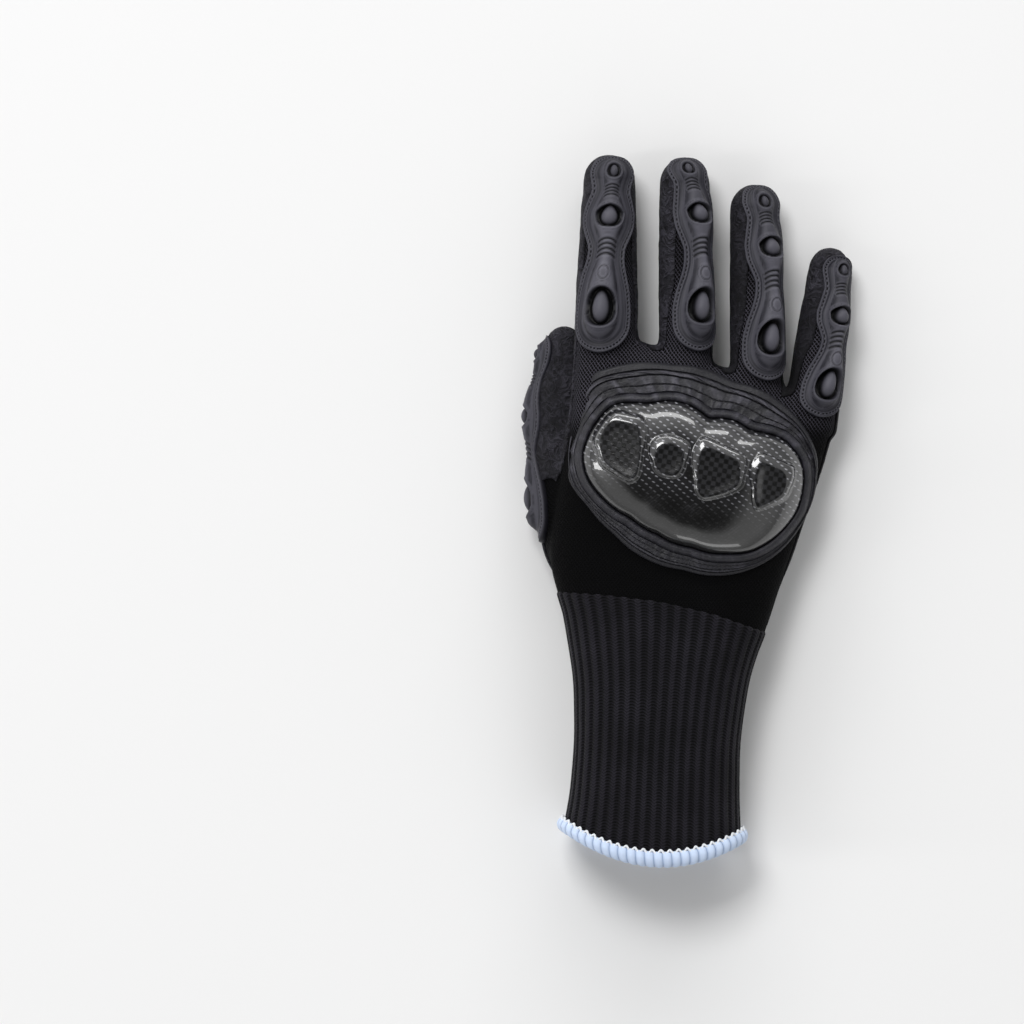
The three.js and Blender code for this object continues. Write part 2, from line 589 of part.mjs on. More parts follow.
// The block beyond the line where the ribbed cuff begins, far towards the fingertips or below the cuff's edge.
function beyondCuffLine(side) {
  const slope = (cuffTopLeft - cuffTopRight) / palmWidth;
  const line = (x) => slope * x - (cuffTopLeft + cuffTopRight) / 2 + (side * seatGap) / 2;
  const wide = palmWidth;
  const far = side * gloveLength;
  return loft([-palmThick, 2 * palmThick].map((z) => [
    new THREE.Vector3(-wide, line(-wide), z), new THREE.Vector3(wide, line(wide), z),
    new THREE.Vector3(wide, far, z), new THREE.Vector3(-wide, far, z),
  ]));
}

// The liner is one hollow wall from the fingertips to the open cuff, knitted plain above and ribbed below.
const liner = handSolid(0).subtract(handSolid(-linerWall, 2 * bindingHeight));
place('knit_hand', liner.intersect(beyondCuffLine(1)), knitMaterial);
place('ribbed_cuff', liner.intersect(beyondCuffLine(-1)), knitMaterial);

// The coating covers the palm, the undersides and thumb sides of the fingers, their tips and the thumb.
function coatRegion() {
  const slab = (rows) => loft(rows.map(({ y, left, right, zLeft, zRight }) => [
    new THREE.Vector3(left, y, -palmThick), new THREE.Vector3(right, y, -palmThick),
    new THREE.Vector3(right, y, zRight), new THREE.Vector3(left, y, zLeft),
  ]));
  const wide = palmWidth;
  const rowAtY = (i) => {
    const row = palmRows[i];
    return { zLeft: row.midLeft * palmThick + coatClimb, zRight: row.midRight * palmThick + coatClimb };
  };
  const rows = [
    { y: 0.26 * gloveLength, left: -wide, right: wide, ...rowAtY(1) },
    { y: 0.1 * gloveLength, left: -wide, right: wide, ...rowAtY(3) },
    { y: -0.02 * gloveLength, left: -wide, right: wide, ...rowAtY(5) },
    { y: -coatWristSide, left: -wide, right: wide, ...rowAtY(7) },
  ];
  let region = slab(rows);
  const half = ((palmRows[8].right - palmRows[8].left) * palmWidth) / 2;
  const middle = ((palmRows[8].right + palmRows[8].left) * palmWidth) / 2;
  const tongue = [];
  for (const height of [-palmThick, palmRows[7].midLeft * palmThick]) {
    const ring = [];
    for (let k = 0; k < 16; k += 1) {
      const angle = (k * 2 * Math.PI) / 16;
      const y = -coatWristSide + Math.sin(angle) * (coatWristDip - coatWristSide);
      ring.push(new THREE.Vector3(middle + Math.cos(angle) * half * 0.94, y, height));
    }
    tongue.push(ring);
  }
  region = region.add(loft(tongue));
  const aside = 1.5 * digits.index.tipHalf;
  for (const [name, digit] of Object.entries(digits)) {
    const { ahead, across } = digitAxes(digit);
    const box = (from, to, roll, top) => {
      const side = across.clone().applyAxisAngle(ahead, radians(roll));
      const out = up.clone().applyAxisAngle(ahead, radians(roll));
      return loft([from, to].map((share) => {
        const { centre } = digitAt(digit, share);
        const corner = (a, b) => centre.clone().addScaledVector(side, a).addScaledVector(out, b);
        return [corner(-aside, -aside), corner(aside, -aside), corner(aside, top), corner(-aside, top)];
      }));
    };
    const tip = coatTip / straightOf(digit);
    if (name === 'thumb') {
      const lowest = (thumbCoatEnd - digit.baseY) / straightOf(digit);
      region = region.add(box(lowest, 1 + 2 * tip, 0, aside));
    } else {
      region = region.add(box(0.25, 1 + tip, digit.guard.midRoll, coatLap));
      region = region.add(box(1 - tip / 3, 1 + 2 * tip, 0, aside));
    }
  }
  const clear = loft([
    outlineRing(surroundOutline, seatGap, -skirt - seatGap), outlineRing(surroundOutline, seatGap, palmThick),
  ]);
  return region.subtract(clear);
}
const coat = handSolid(coatReach, 2 * bindingHeight).subtract(handSolid(seatGap, 4 * bindingHeight));
place('palm_coating', coat.intersect(coatRegion()), coatMaterial);

// The guards, each seated clear of the coating.
const seat = handSolid(guardSeat);
for (const [name, digit] of Object.entries(digits)) {
  place(name === 'thumb' ? 'thumb_guard' : `finger_guard_${name}`, guardSolid(digit, seat), guardMaterial);
}

// The knuckle shell, the welt that holds its edge down and the stitched surround.
const bed = handSolid(seatGap);
let shell = domeSolid(0, skirt);
for (const knuckle of knuckles) shell = shell.add(knuckleSolid(knuckle));
const innerRows = domeRows.filter((row) => row.rise !== 0.5);
shell = shell.subtract(domeSolid(shellWall, 1.5 * skirt, innerRows)).subtract(bed);
place('knuckle_shell', shell, shellMaterial);

const weltIn = seatGap;
const weltOut = weltIn + weltWidth;
const welt = loft([
  outlineRing(shellOutline, weltIn, -skirt), outlineRing(shellOutline, weltIn, weltHeight * 0.8),
  outlineRing(shellOutline, weltIn + weltWidth * 0.5, weltHeight),
  outlineRing(shellOutline, weltOut, weltHeight * 0.6), outlineRing(shellOutline, weltOut, -skirt),
], true);
place('knuckle_welt', welt.subtract(bed), leatherMaterial);

// A ring of the surround, at a share of the way from the welt to its outer edge.
function surroundRing(share, height) {
  const inner = outlineRing(shellOutline, weltOut + seatGap, height);
  const outer = outlineRing(surroundOutline, 0, height);
  return inner.map((point, k) => {
    const { x, y } = point.lerp(outer[k], share);
    return new THREE.Vector3(x, y, backHeight(x, y) + height);
  });
}
const surround = loft([
  surroundRing(0, -skirt), surroundRing(0, surroundThick), surroundRing(0.62, surroundThick),
  surroundRing(0.78, surroundThick * 1.7), surroundRing(1, surroundThick * 0.8), surroundRing(1, -skirt),
], true);
place('knuckle_surround', surround.subtract(bed), leatherMaterial);

// The binding folds over the cuff's edge. back is the distance up the cuff from its edge.
function cuffRing(offset, back) {
  const [above, edge] = palmRows.slice(-2);
  const t = back / ((above.yLeft - edge.yLeft) * gloveLength);
  if (t <= 0) return palmRing(edge, offset, -back);
  const row = Object.fromEntries(Object.keys(edge).map((key) => [key, lerp(edge[key], above[key], t)]));
  return palmRing(row, offset);
}
const outFace = seatGap + bindingThick;
const inFace = -linerWall - seatGap;
const below = bindingHeight - bindingCover;
const binding = loft([
  cuffRing(outFace - bindingRound, bindingCover), cuffRing(outFace, bindingCover - bindingRound),
  cuffRing(outFace, bindingRound - below), cuffRing(outFace - bindingRound, -below),
  cuffRing(inFace - bindingInside + bindingRound, -below), cuffRing(inFace - bindingInside, bindingRound - below),
  cuffRing(inFace - bindingInside, bindingCover), cuffRing(inFace, bindingCover),
  cuffRing(inFace, -seatGap), cuffRing(seatGap, -seatGap),
  cuffRing(seatGap, bindingCover),
], true);
place('cuff_binding', binding, bindingMaterial);

// The origin is the middle of the underside.
const bounds = new THREE.Box3().setFromObject(root);
const centre = bounds.getCenter(new THREE.Vector3());
for (const mesh of root.children) mesh.geometry.translate(-centre.x, -centre.y, -bounds.min.z);

export default root;
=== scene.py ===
# Impact glove for the right hand, lying on its palm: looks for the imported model
import bpy
import numpy as np
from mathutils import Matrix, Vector


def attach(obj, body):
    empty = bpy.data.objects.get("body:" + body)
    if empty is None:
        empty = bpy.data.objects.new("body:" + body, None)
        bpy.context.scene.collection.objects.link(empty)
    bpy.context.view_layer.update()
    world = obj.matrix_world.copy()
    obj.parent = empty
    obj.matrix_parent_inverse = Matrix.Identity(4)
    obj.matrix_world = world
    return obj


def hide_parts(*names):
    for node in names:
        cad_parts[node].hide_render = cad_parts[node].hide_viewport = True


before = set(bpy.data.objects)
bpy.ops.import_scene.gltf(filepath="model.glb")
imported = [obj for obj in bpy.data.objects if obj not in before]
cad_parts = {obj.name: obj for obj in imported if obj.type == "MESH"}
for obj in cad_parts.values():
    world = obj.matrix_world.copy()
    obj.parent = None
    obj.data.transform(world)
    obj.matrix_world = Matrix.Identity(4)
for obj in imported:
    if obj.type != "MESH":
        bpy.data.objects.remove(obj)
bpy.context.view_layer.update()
print("frame loaded")

# sizes in mm, in the photo's own axes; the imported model's origin is the middle of the underside
originShift = np.array([0.3631, 0.3817, 0.0])
glove = {
    "length": 250.0,
    "palmWidth": 95.0,
    "palmThick": 34.0,
    "rimBow": 10.0,
    "liner": 1.4,          # thickness of the knitted wall
    "gap": 0.3,
    "coat": 0.9,
    "palmPower": 2.5,      # squareness of the hand's sections, 2 is an ellipse
    "fingerPower": 2.3,
}
coatReach = glove["gap"] + glove["coat"]

# palm and cuff sections from the webs to the cuff edge, as shares of the sizes above
palmKeys = ["yLeft", "yRight", "left", "right", "thick", "midLeft", "midRight", "bow"]
palmRows = np.array([
    [0.256, 0.142, -0.378, 0.548, 0.12, 0.67, 0.36, -0.2],
    [0.246, 0.134, -0.390, 0.550, 0.40, 0.68, 0.37, -0.2],
    [0.216, 0.108, -0.400, 0.532, 0.60, 0.71, 0.40, -0.1],
    [0.152, 0.064, -0.410, 0.500, 0.73, 0.72, 0.43, 0.0],
    [0.072, 0.004, -0.440, 0.445, 0.86, 0.65, 0.43, 0.0],
    [-0.016, -0.056, -0.490, 0.390, 0.94, 0.57, 0.455, 0.0],
    [-0.072, -0.096, -0.498, 0.355, 0.98, 0.53, 0.475, 0.0],
    [-0.140, -0.150, -0.448, 0.310, 1.00, 0.505, 0.49, 0.0],
    [-0.232, -0.232, -0.407, 0.237, 1.00, 0.50, 0.50, 0.2],
    [-0.318, -0.320, -0.406, 0.202, 1.00, 0.50, 0.50, 0.5],
    [-0.390, -0.398, -0.422, 0.199, 1.01, 0.505, 0.505, 0.8],
    [-0.440, -0.458, -0.446, 0.205, 1.02, 0.51, 0.51, 1.0],
])

# fingers: base and tip in plan, half widths, height of the underside, and the guard on each
fingers = {
    "index": dict(baseX=-28.0, baseY=38.0, tipX=-26.3, length=85.8, baseHalf=10.2, tipHalf=7.8, baseLift=12.5,
                  tipLift=1.2, guardLength=72.3, guardHalf=10.0, roll=(10, 2, -8), wrap=1.05,
                  marks=(0.113, 0.211, 0.327, 0.486, 0.608, 0.774), bend=(0.3, -0.1, -0.3, -0.4, -1.1, -1.1)),
    "middle": dict(baseX=0.6, baseY=34.0, tipX=0.0, length=88.4, baseHalf=8.5, tipHalf=7.7, baseLift=11.5,
                   tipLift=0.4, guardLength=72.4, guardHalf=9.1, roll=(3, 27, 25), wrap=1.25,
                   marks=(0.109, 0.191, 0.323, 0.492, 0.622, 0.778), bend=(-0.4, -0.2, 0.5, 0.9, 1.5, 0.3)),
    "ring": dict(baseX=25.4, baseY=26.0, tipX=24.6, length=87.4, baseHalf=8.4, tipHalf=7.4, baseLift=8.5,
                 tipLift=-0.4, guardLength=72.0, guardHalf=9.1, roll=(10, 29, 22), wrap=1.1,
                 marks=(0.125, 0.209, 0.341, 0.506, 0.630, 0.788), bend=(0.6, 0, 0.5, 1.2, 1.7, 0.2)),
    "little": dict(baseX=43.6, baseY=28.0, tipX=50.9, length=63.4, baseHalf=8.4, tipHalf=5.9, baseLift=4.5,
                   tipLift=-0.5, guardLength=58.2, guardHalf=8.3, roll=(30, 33, 15), wrap=0.65,
                   marks=(0.105, 0.225, 0.373, 0.526, 0.640, 0.794), bend=(0.3, 0.1, 0.5, 1.1, 1.1, 0.2)),
}
thumbHalf = 10.4
thumbRows = np.array([  # share of the way, middle x in mm, half width and half height as shares of thumbHalf
    [0.00, -31.0, 1.05, 1.05],
    [0.10, -34.4, 1.27, 1.20],
    [0.26, -37.6, 1.20, 1.12],
    [0.65, -41.4, 1.03, 0.86],
    [0.84, -42.6, 0.89, 0.79],
    [1.00, -42.0, 0.62, 0.64],
])
thumb = dict(baseY=-25.0, length=89.0, cap=12.0, sink=0.9, guardLength=75.0, guardHalf=9.0, roll=(-88, -97, -91),
             wrap=0.8, marks=(0.115, 0.24, 0.40, 0.565, 0.66, 0.79), bend=(0, 0, 0, 0, 0, 0))
digits = {**fingers, "thumb": thumb}


def eased(x, xs, ys, width):
    # linear between the rows, then averaged over a short stretch so that no corner shows
    taps = np.linspace(-1, 1, 9)
    weights = (1 - taps ** 2) + 0.05
    total = sum(w * np.interp(x + t * width, xs, ys) for t, w in zip(taps, weights))
    return total / weights.sum()


def smoothStep(low, high, x):
    # nought before low, one after high, between them three times the square less twice the cube
    t = np.clip((x - low) / (high - low), 0, 1)
    return t * t * (3 - 2 * t)


def makeMesh(name, points, faces, mat):
    # points in mm, faces a list of index arrays, each with a fixed number of corners
    mesh = bpy.data.meshes.new(name)
    points = (np.asarray(points, float).reshape(-1, 3) - originShift) / 1000
    counts = np.concatenate([np.full(len(f), f.shape[1]) for f in faces])
    corners = np.concatenate([f.ravel() for f in faces]).astype(np.int32)
    starts = np.concatenate([[0], np.cumsum(counts)[:-1]]).astype(np.int32)
    mesh.vertices.add(len(points))
    mesh.vertices.foreach_set("co", points.ravel())
    mesh.loops.add(len(corners))
    mesh.loops.foreach_set("vertex_index", corners)
    mesh.polygons.add(len(counts))
    mesh.polygons.foreach_set("loop_start", starts)
    mesh.update(calc_edges=True)
    mesh.validate()
    mesh.polygons.foreach_set("use_smooth", np.full(len(mesh.polygons), True))
    ob = bpy.data.objects.new(name, mesh)
    bpy.context.scene.collection.objects.link(ob)
    if mat:
        mesh.materials.append(mat)
    return ob


def gridFaces(rows, cols, wrapCols=False, wrapRows=False, flip=False):
    # quads of a grid of rows by cols points
    r = np.arange(rows if wrapRows else rows - 1)[:, None]
    c = np.arange(cols if wrapCols else cols - 1)[None, :]
    a = r * cols + c
    b = r * cols + (c + 1) % cols
    d = ((r + 1) % rows) * cols + c
    e = ((r + 1) % rows) * cols + (c + 1) % cols
    quads = np.stack([a, b, e, d], -1).reshape(-1, 4)
    return quads[:, ::-1] if flip else quads


def tubeParts(grid, flip=False):
    # a grid whose columns close round, with a fan over each end
    rows, cols = grid.shape[:2]
    points = np.concatenate([grid.reshape(-1, 3), grid[:1].mean(1), grid[-1:].mean(1)])
    k = np.arange(cols)
    n = (k + 1) % cols
    first = np.stack([n, k, np.full(cols, rows * cols)], -1)
    last = np.stack([k + (rows - 1) * cols, n + (rows - 1) * cols, np.full(cols, rows * cols + 1)], -1)
    tris = np.concatenate([first, last])
    quads = gridFaces(rows, cols, wrapCols=True)
    return points, [quads[:, ::-1] if flip else quads, tris[:, ::-1] if flip else tris]


def joinParts(parts):
    # several (points, faces) as one, the index arrays grouped by number of corners
    points, groups, shift = [], {}, 0
    for p, fs in parts:
        points.append(np.asarray(p).reshape(-1, 3))
        for f in fs:
            groups.setdefault(f.shape[1], []).append(f + shift)
        shift += len(points[-1])
    return np.concatenate(points), [np.concatenate(g) for g in groups.values()]


def latticeNoise(points, size, seed, octaves=3):
    # value noise: random numbers on a cubic lattice of the given size in mm, eased between, in -1 to 1
    rng = np.random.default_rng(seed)
    table = rng.uniform(-1, 1, (32, 32, 32))
    total, gain = 0, 0
    for o in range(octaves):
        q = np.asarray(points) / (size / 2 ** o) + 57.3 * (o + 1)
        i = np.floor(q).astype(int)
        f = q - i
        f = f * f * (3 - 2 * f)
        value = 0
        for dx in (0, 1):
            for dy in (0, 1):
                for dz in (0, 1):
                    w = (np.where(dx, f[..., 0], 1 - f[..., 0]) * np.where(dy, f[..., 1], 1 - f[..., 1])
                         * np.where(dz, f[..., 2], 1 - f[..., 2]))
                    value = value + w * table[(i[..., 0] + dx) % 32, (i[..., 1] + dy) % 32, (i[..., 2] + dz) % 32]
        total = total + value * 0.5 ** o
        gain += 0.5 ** o
    return total / gain


def readMesh(ob):
    # points in mm and quads of an object after its modifiers
    depsgraph = bpy.context.evaluated_depsgraph_get()
    mesh = bpy.data.meshes.new_from_object(ob.evaluated_get(depsgraph))
    co = np.empty(len(mesh.vertices) * 3, np.float32)
    mesh.vertices.foreach_get("co", co)
    corners = np.empty(len(mesh.loops), np.int32)
    mesh.loops.foreach_get("vertex_index", corners)
    bpy.data.meshes.remove(mesh)
    return co.reshape(-1, 3).astype(float) * 1000 + originShift, corners.reshape(-1, 4)


def vertexNormals(points, quads):
    # area-weighted normals of a quad mesh
    a, b, c, d = (points[quads[:, i]] for i in range(4))
    n = np.cross(c - a, d - b)
    out = np.zeros_like(points)
    for i in range(4):
        np.add.at(out, quads[:, i], n)
    return out / np.maximum(np.linalg.norm(out, axis=1, keepdims=True), 1e-12)


def roundPoint(angle, power):
    # superellipse of half size one
    c, s = np.cos(angle), np.sin(angle)
    return np.sign(c) * np.abs(c) ** (2 / power), np.sign(s) * np.abs(s) ** (2 / power)


def palmValue(v):
    # every number of the palm table at places v, counted in rows
    xs = np.arange(len(palmRows))
    return {key: eased(v, xs, palmRows[:, i], 0.45) for i, key in enumerate(palmKeys)}


def palmSurface(v, angle, offset, slide=0.0):
    # each row is a superellipse between its left and right edges, its middle line slanted and bowed,
    # grown by offset and flattened where it rests
    v, angle = np.broadcast_arrays(v, angle)
    row = palmValue(v)
    across, high = roundPoint(angle, glove["palmPower"])
    half = (row["right"] - row["left"]) * glove["palmWidth"] / 2
    middle = (row["right"] + row["left"]) * glove["palmWidth"] / 2
    share = (across + 1) / 2
    y = (row["yLeft"] * (1 - share) + row["yRight"] * share) * glove["length"]
    y = y - row["bow"] * glove["rimBow"] * (1 - across ** 2) - slide
    z = (row["midLeft"] * (1 - share) + row["midRight"] * share) * glove["palmThick"]
    z = z + high * (row["thick"] * glove["palmThick"] / 2 + offset)
    return np.stack([middle + across * (half + offset), y, np.maximum(z, coatReach - offset)], -1)


def digitAxes(d):
    # unit vectors ahead and across; a finger points from its root to its tip, the thumb straight ahead
    if "sink" in d:
        return np.array([0.0, 1.0, 0.0]), np.array([1.0, 0.0, 0.0])
    ahead = np.array([d["tipX"] - d["baseX"], d["length"] - d["tipHalf"], 0.0])
    ahead /= np.linalg.norm(ahead)
    return ahead, np.array([ahead[1], -ahead[0], 0.0])


def capOf(d):
    # length of the digit's rounded tip
    return d.get("cap", d.get("tipHalf"))


def straightOf(d):
    # length of the digit up to its rounded tip
    return d["length"] - capOf(d)


def digitAt(d, share):
    # centre, half width and half height at a share of the way from the root to the rounded tip
    share = np.asarray(share, float)
    s = np.clip(share, 0, 1)
    y = d["baseY"] + straightOf(d) * share
    if "sink" in d:
        x, half, high = (eased(s, thumbRows[:, 0], thumbRows[:, i], 0.07) for i in (1, 2, 3))
        half, high = half * thumbHalf, high * thumbHalf
        z = high + coatReach - d["sink"]
    else:
        half = d["baseHalf"] + (d["tipHalf"] - d["baseHalf"]) * s ** 2
        high = half * 0.95
        x = d["baseX"] + (d["tipX"] - d["baseX"]) * share
        z = d["baseLift"] + (d["tipLift"] - d["baseLift"]) * share + high + coatReach
    return np.stack([x + 0 * y, y, z + 0 * y], -1), half, high


def digitGrid(d, cols, steps):
    # rings along the digit, then rings round its half-ellipsoid tip
    ahead, across = digitAxes(d)
    centre, half, high = digitAt(d, np.linspace(0, 1, steps))
    turn = np.linspace(0, np.pi / 2, 14)[1:] * 0.985
    end = centre[-1] + ahead * (capOf(d) * np.sin(turn))[:, None]
    centre = np.concatenate([centre, end])
    shrink = np.concatenate([np.ones(steps), np.cos(turn)])
    half = np.concatenate([half, np.full(len(turn), half[-1])])
    high = np.concatenate([high, np.full(len(turn), high[-1])])
    angle = (np.arange(cols) + 0.5) * 2 * np.pi / cols
    a, h = roundPoint(angle, glove["fingerPower"])
    grid = centre[:, None, :] + across * (a * (half * shrink)[:, None])[..., None]
    grid[..., 2] += h * (high * shrink)[:, None]
    grid[..., 2] = np.maximum(grid[..., 2], coatReach)
    return grid


def addNode(mat, kind, inputs=None, **props):
    # one shader node; inputs by name or number are values or other nodes' sockets
    node = mat.node_tree.nodes.new(kind)
    for key, value in props.items():
        setattr(node, key, value)
    for key, value in (inputs or {}).items():
        if isinstance(value, bpy.types.NodeSocket):
            mat.node_tree.links.new(value, node.inputs[key])
        else:
            node.inputs[key].default_value = value
    return node


def calc(mat, how, a, b=0.0, c=0.0, clamp=False):
    # one step of arithmetic; a, b and c are numbers or sockets
    inputs = {0: a, 1: b}
    if how in ("MULTIPLY_ADD", "SMOOTH_MIN", "SMOOTH_MAX", "PINGPONG", "WRAP"):
        inputs[2] = c
    node = addNode(mat, "ShaderNodeMath", inputs, operation=how)
    node.use_clamp = clamp
    return node.outputs[0]


def ramp(mat, factor, stops):
    # a colour ramp; stops are (place, grey or colour)
    node = addNode(mat, "ShaderNodeValToRGB", {"Fac": factor})
    elements = node.color_ramp.elements
    while len(elements) < len(stops):
        elements.new(0.5)
    for element, (place, colour) in zip(elements, stops):
        element.position = place
        element.color = (*(colour if np.ndim(colour) else (colour,) * 3), 1)
    return node.outputs[0]


def mixColour(mat, factor, a, b):
    # a where the factor is nought, b where it is one
    node = addNode(mat, "ShaderNodeMix", data_type="RGBA")
    for slot, value in ((0, factor), (6, a), (7, b)):
        if isinstance(value, bpy.types.NodeSocket):
            mat.node_tree.links.new(value, node.inputs[slot])
        elif slot == 0:
            node.inputs[0].default_value = value
        else:
            node.inputs[slot].default_value = (*value, 1)
    return node.outputs[2]


def noiseOf(mat, where, scale, detail=3.0, rough=0.55, distort=0.0):
    return addNode(mat, "ShaderNodeTexNoise", {"Vector": where, "Scale": scale, "Detail": detail,
                                               "Roughness": rough, "Distortion": distort}).outputs["Fac"]


def newMaterial(name, **fixed):
    # a material and its shader, with the shader's fixed inputs
    mat = bpy.data.materials.new(name)
    mat.use_nodes = True
    shader = mat.node_tree.nodes["Principled BSDF"]
    for key, value in fixed.items():
        shader.inputs[key].default_value = value
    return mat, shader


def millimetres(mat):
    # object coordinates in mm
    where = addNode(mat, "ShaderNodeTexCoord").outputs["Object"]
    return addNode(mat, "ShaderNodeVectorMath", {0: where, 3: 1000.0}, operation="SCALE").outputs[0]


def relief(mat, shader, height, strength, depth):
    # bump from a height socket; depth in mm is what a height of one stands for
    bump = addNode(mat, "ShaderNodeBump", {"Height": height, "Strength": strength, "Distance": depth / 1000})
    mat.node_tree.links.new(bump.outputs[0], shader.inputs["Normal"])


def setAttribute(ob, name, values):
    # one number for each point, for the material to read
    layer = ob.data.attributes.new(name, "FLOAT", "POINT")
    layer.data.foreach_set("value", np.asarray(values, np.float32).ravel())


def attribute(mat, name):
    return addNode(mat, "ShaderNodeAttribute", attribute_name=name).outputs["Fac"]


def finishPiece(ob, nodes=()):
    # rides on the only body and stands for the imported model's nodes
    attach(ob, "root")
    if nodes:
        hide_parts(*nodes)
    return ob


def edgesOf(quads):
    # the four directed edges of every quad
    return np.concatenate([quads[:, [i, (i + 1) % 4]] for i in range(4)])


def relaxed(points, quads, weight, rounds):
    # moves each point towards the mean of its neighbours, as far as its weight says
    edges = edgesOf(quads)
    count = np.bincount(edges.ravel(), minlength=len(points))[:, None]
    for _ in range(rounds):
        total = np.stack([np.bincount(edges[:, 0], points[edges[:, 1], i], len(points))
                          + np.bincount(edges[:, 1], points[edges[:, 0], i], len(points)) for i in range(3)], -1)
        points = points + (total / np.maximum(count, 1) - points) * weight[:, None]
    return points


def subset(points, quads, keep):
    # the quads whose flag is set, with only the points that they use
    quads = quads[keep]
    used = np.unique(quads)
    order = np.full(len(points), -1)
    order[used] = np.arange(len(used))
    return used, order[quads]


def openEdges(quads):
    # the directed edges that only one quad has
    edges = edgesOf(quads)
    key = edges[:, 0].astype(np.int64) * (quads.max() + 1) + edges[:, 1]
    back = edges[:, 1].astype(np.int64) * (quads.max() + 1) + edges[:, 0]
    return edges[~np.isin(key, back)]


def walled(outer, inner, quads):
    # a closed wall from an outer skin, an inner skin and a strip along the open edges
    n = len(outer)
    rim = openEdges(quads)
    strip = np.stack([rim[:, 1], rim[:, 0], rim[:, 0] + n, rim[:, 1] + n], -1)
    return np.concatenate([outer, inner]), [np.concatenate([quads, quads[:, ::-1] + n, strip])]


# knit: two sets of slanted strands over dark holes, near black; the strands' crowns are painted paler, a painted
# highlight where they would catch the light
def makeKnit():
    mat, shader = newMaterial("knitFabric", Roughness=0.8)
    shader.inputs["Specular IOR Level"].default_value = 0.07
    where = millimetres(mat)
    u, v = attribute(mat, "stitchU"), attribute(mat, "stitchV")
    wobble = calc(mat, "MULTIPLY", noiseOf(mat, where, 0.35, 2.0), 0.9)
    u = calc(mat, "ADD", u, wobble)

    def strands(slope, pitch):
        # a wave across slanted lines, one on their crowns
        place = calc(mat, "DIVIDE", calc(mat, "MULTIPLY_ADD", v, slope, u), pitch)
        return calc(mat, "MULTIPLY", calc(mat, "PINGPONG", place, 0.5), 2.0)
    falling = strands(0.72, 1.3)
    rising = strands(-0.95, 1.3)
    rising = calc(mat, "MULTIPLY", calc(mat, "POWER", rising, 2.4), 0.85)
    height = calc(mat, "MAXIMUM", calc(mat, "POWER", falling, 2.2), rising)
    fuzz = noiseOf(mat, where, 2.6, 4.0)
    height = calc(mat, "MULTIPLY_ADD", fuzz, 0.3, height)
    broad = noiseOf(mat, where, 0.05, 3.0)
    lit = attribute(mat, "stretch")
    lit = calc(mat, "MULTIPLY_ADD", broad, 0.5, lit)
    tone = calc(mat, "MULTIPLY", calc(mat, "SUBTRACT", height, 0.25), lit, clamp=True)
    skin = ramp(mat, tone, [(0.0, 0.0003), (0.35, (0.0016, 0.0015, 0.0021)), (1.0, (0.075, 0.072, 0.090))])
    mat.node_tree.links.new(skin, shader.inputs["Base Color"])
    relief(mat, shader, height, 0.8, 0.28)
    return mat


knitMaterial = makeKnit()
hand = {
    "voxel": 1.25,
    "smoothing": 5,
    "end": -66.0,           # where the hand's own fabric stops, inside the cuff
    "skirt": 0.6,           # how far it dips under the cuff
    "wrinkle": 0.28,
    # where the skin between two digits is smoothed: x, y and the spread in square mm
    "webs": ((-12.2, 58.0, 60.0), (12.6, 52.0, 60.0), (35.9, 42.0, 60.0), (-34.0, 24.0, 120.0)),
}
cuffTop = np.array([[-50.0, -27.0], [-44.3, -27.4], [-29.3, -28.1], [-8.7, -30.6], [10.0, -35.0], [28.2, -41.3],
                    [34.0, -43.0]])   # x and y of the line across the back where the ribs start
cuffPalmTop = -40.0


def remeshed(parts, voxel, rounds):
    # one skin round several overlapping tubes
    points, faces = joinParts(parts)
    ob = makeMesh("tubes", points, faces, None)
    mod = ob.modifiers.new("skin", "REMESH")
    mod.mode = "VOXEL"
    mod.voxel_size = voxel / 1000
    soft = ob.modifiers.new("soften", "SMOOTH")
    soft.factor = 0.5
    soft.iterations = rounds
    points, quads = readMesh(ob)
    mesh = ob.data
    bpy.data.objects.remove(ob)
    bpy.data.meshes.remove(mesh)
    return points, quads


def cuffLine(x, z):
    # y where the ribs start: the slanted line on the back, a level one under the palm's coating
    back = np.interp(x, cuffTop[:, 0], cuffTop[:, 1])
    turn = smoothStep(9.0, 17.0, z)
    return back * turn + cuffPalmTop * (1 - turn)


tubes = [tubeParts(palmSurface(np.linspace(0, 8.9, 120)[:, None], (np.arange(96) + 0.5)[None, :] * np.pi / 48, 0.0),
                   flip=True)]
tubes += [tubeParts(digitGrid(d, 48, 60)) for d in digits.values()]
handPoints, handQuads = remeshed(tubes, hand["voxel"], hand["smoothing"])
near = sum(np.exp(-((handPoints[:, 0] - x) ** 2 + (handPoints[:, 1] - y) ** 2) / spread)
           for x, y, spread in hand["webs"])
handPoints = relaxed(handPoints, handQuads, np.clip(near, 0, 0.6), 6)
used, handQuads = subset(handPoints, handQuads, (handPoints[handQuads, 1] > hand["end"]).all(1))
handPoints = handPoints[used]
handPoints[:, 2] = np.maximum(handPoints[:, 2], coatReach)
handNormals = vertexNormals(handPoints, handQuads)
print("hand's skin built,", len(handQuads), "quads")


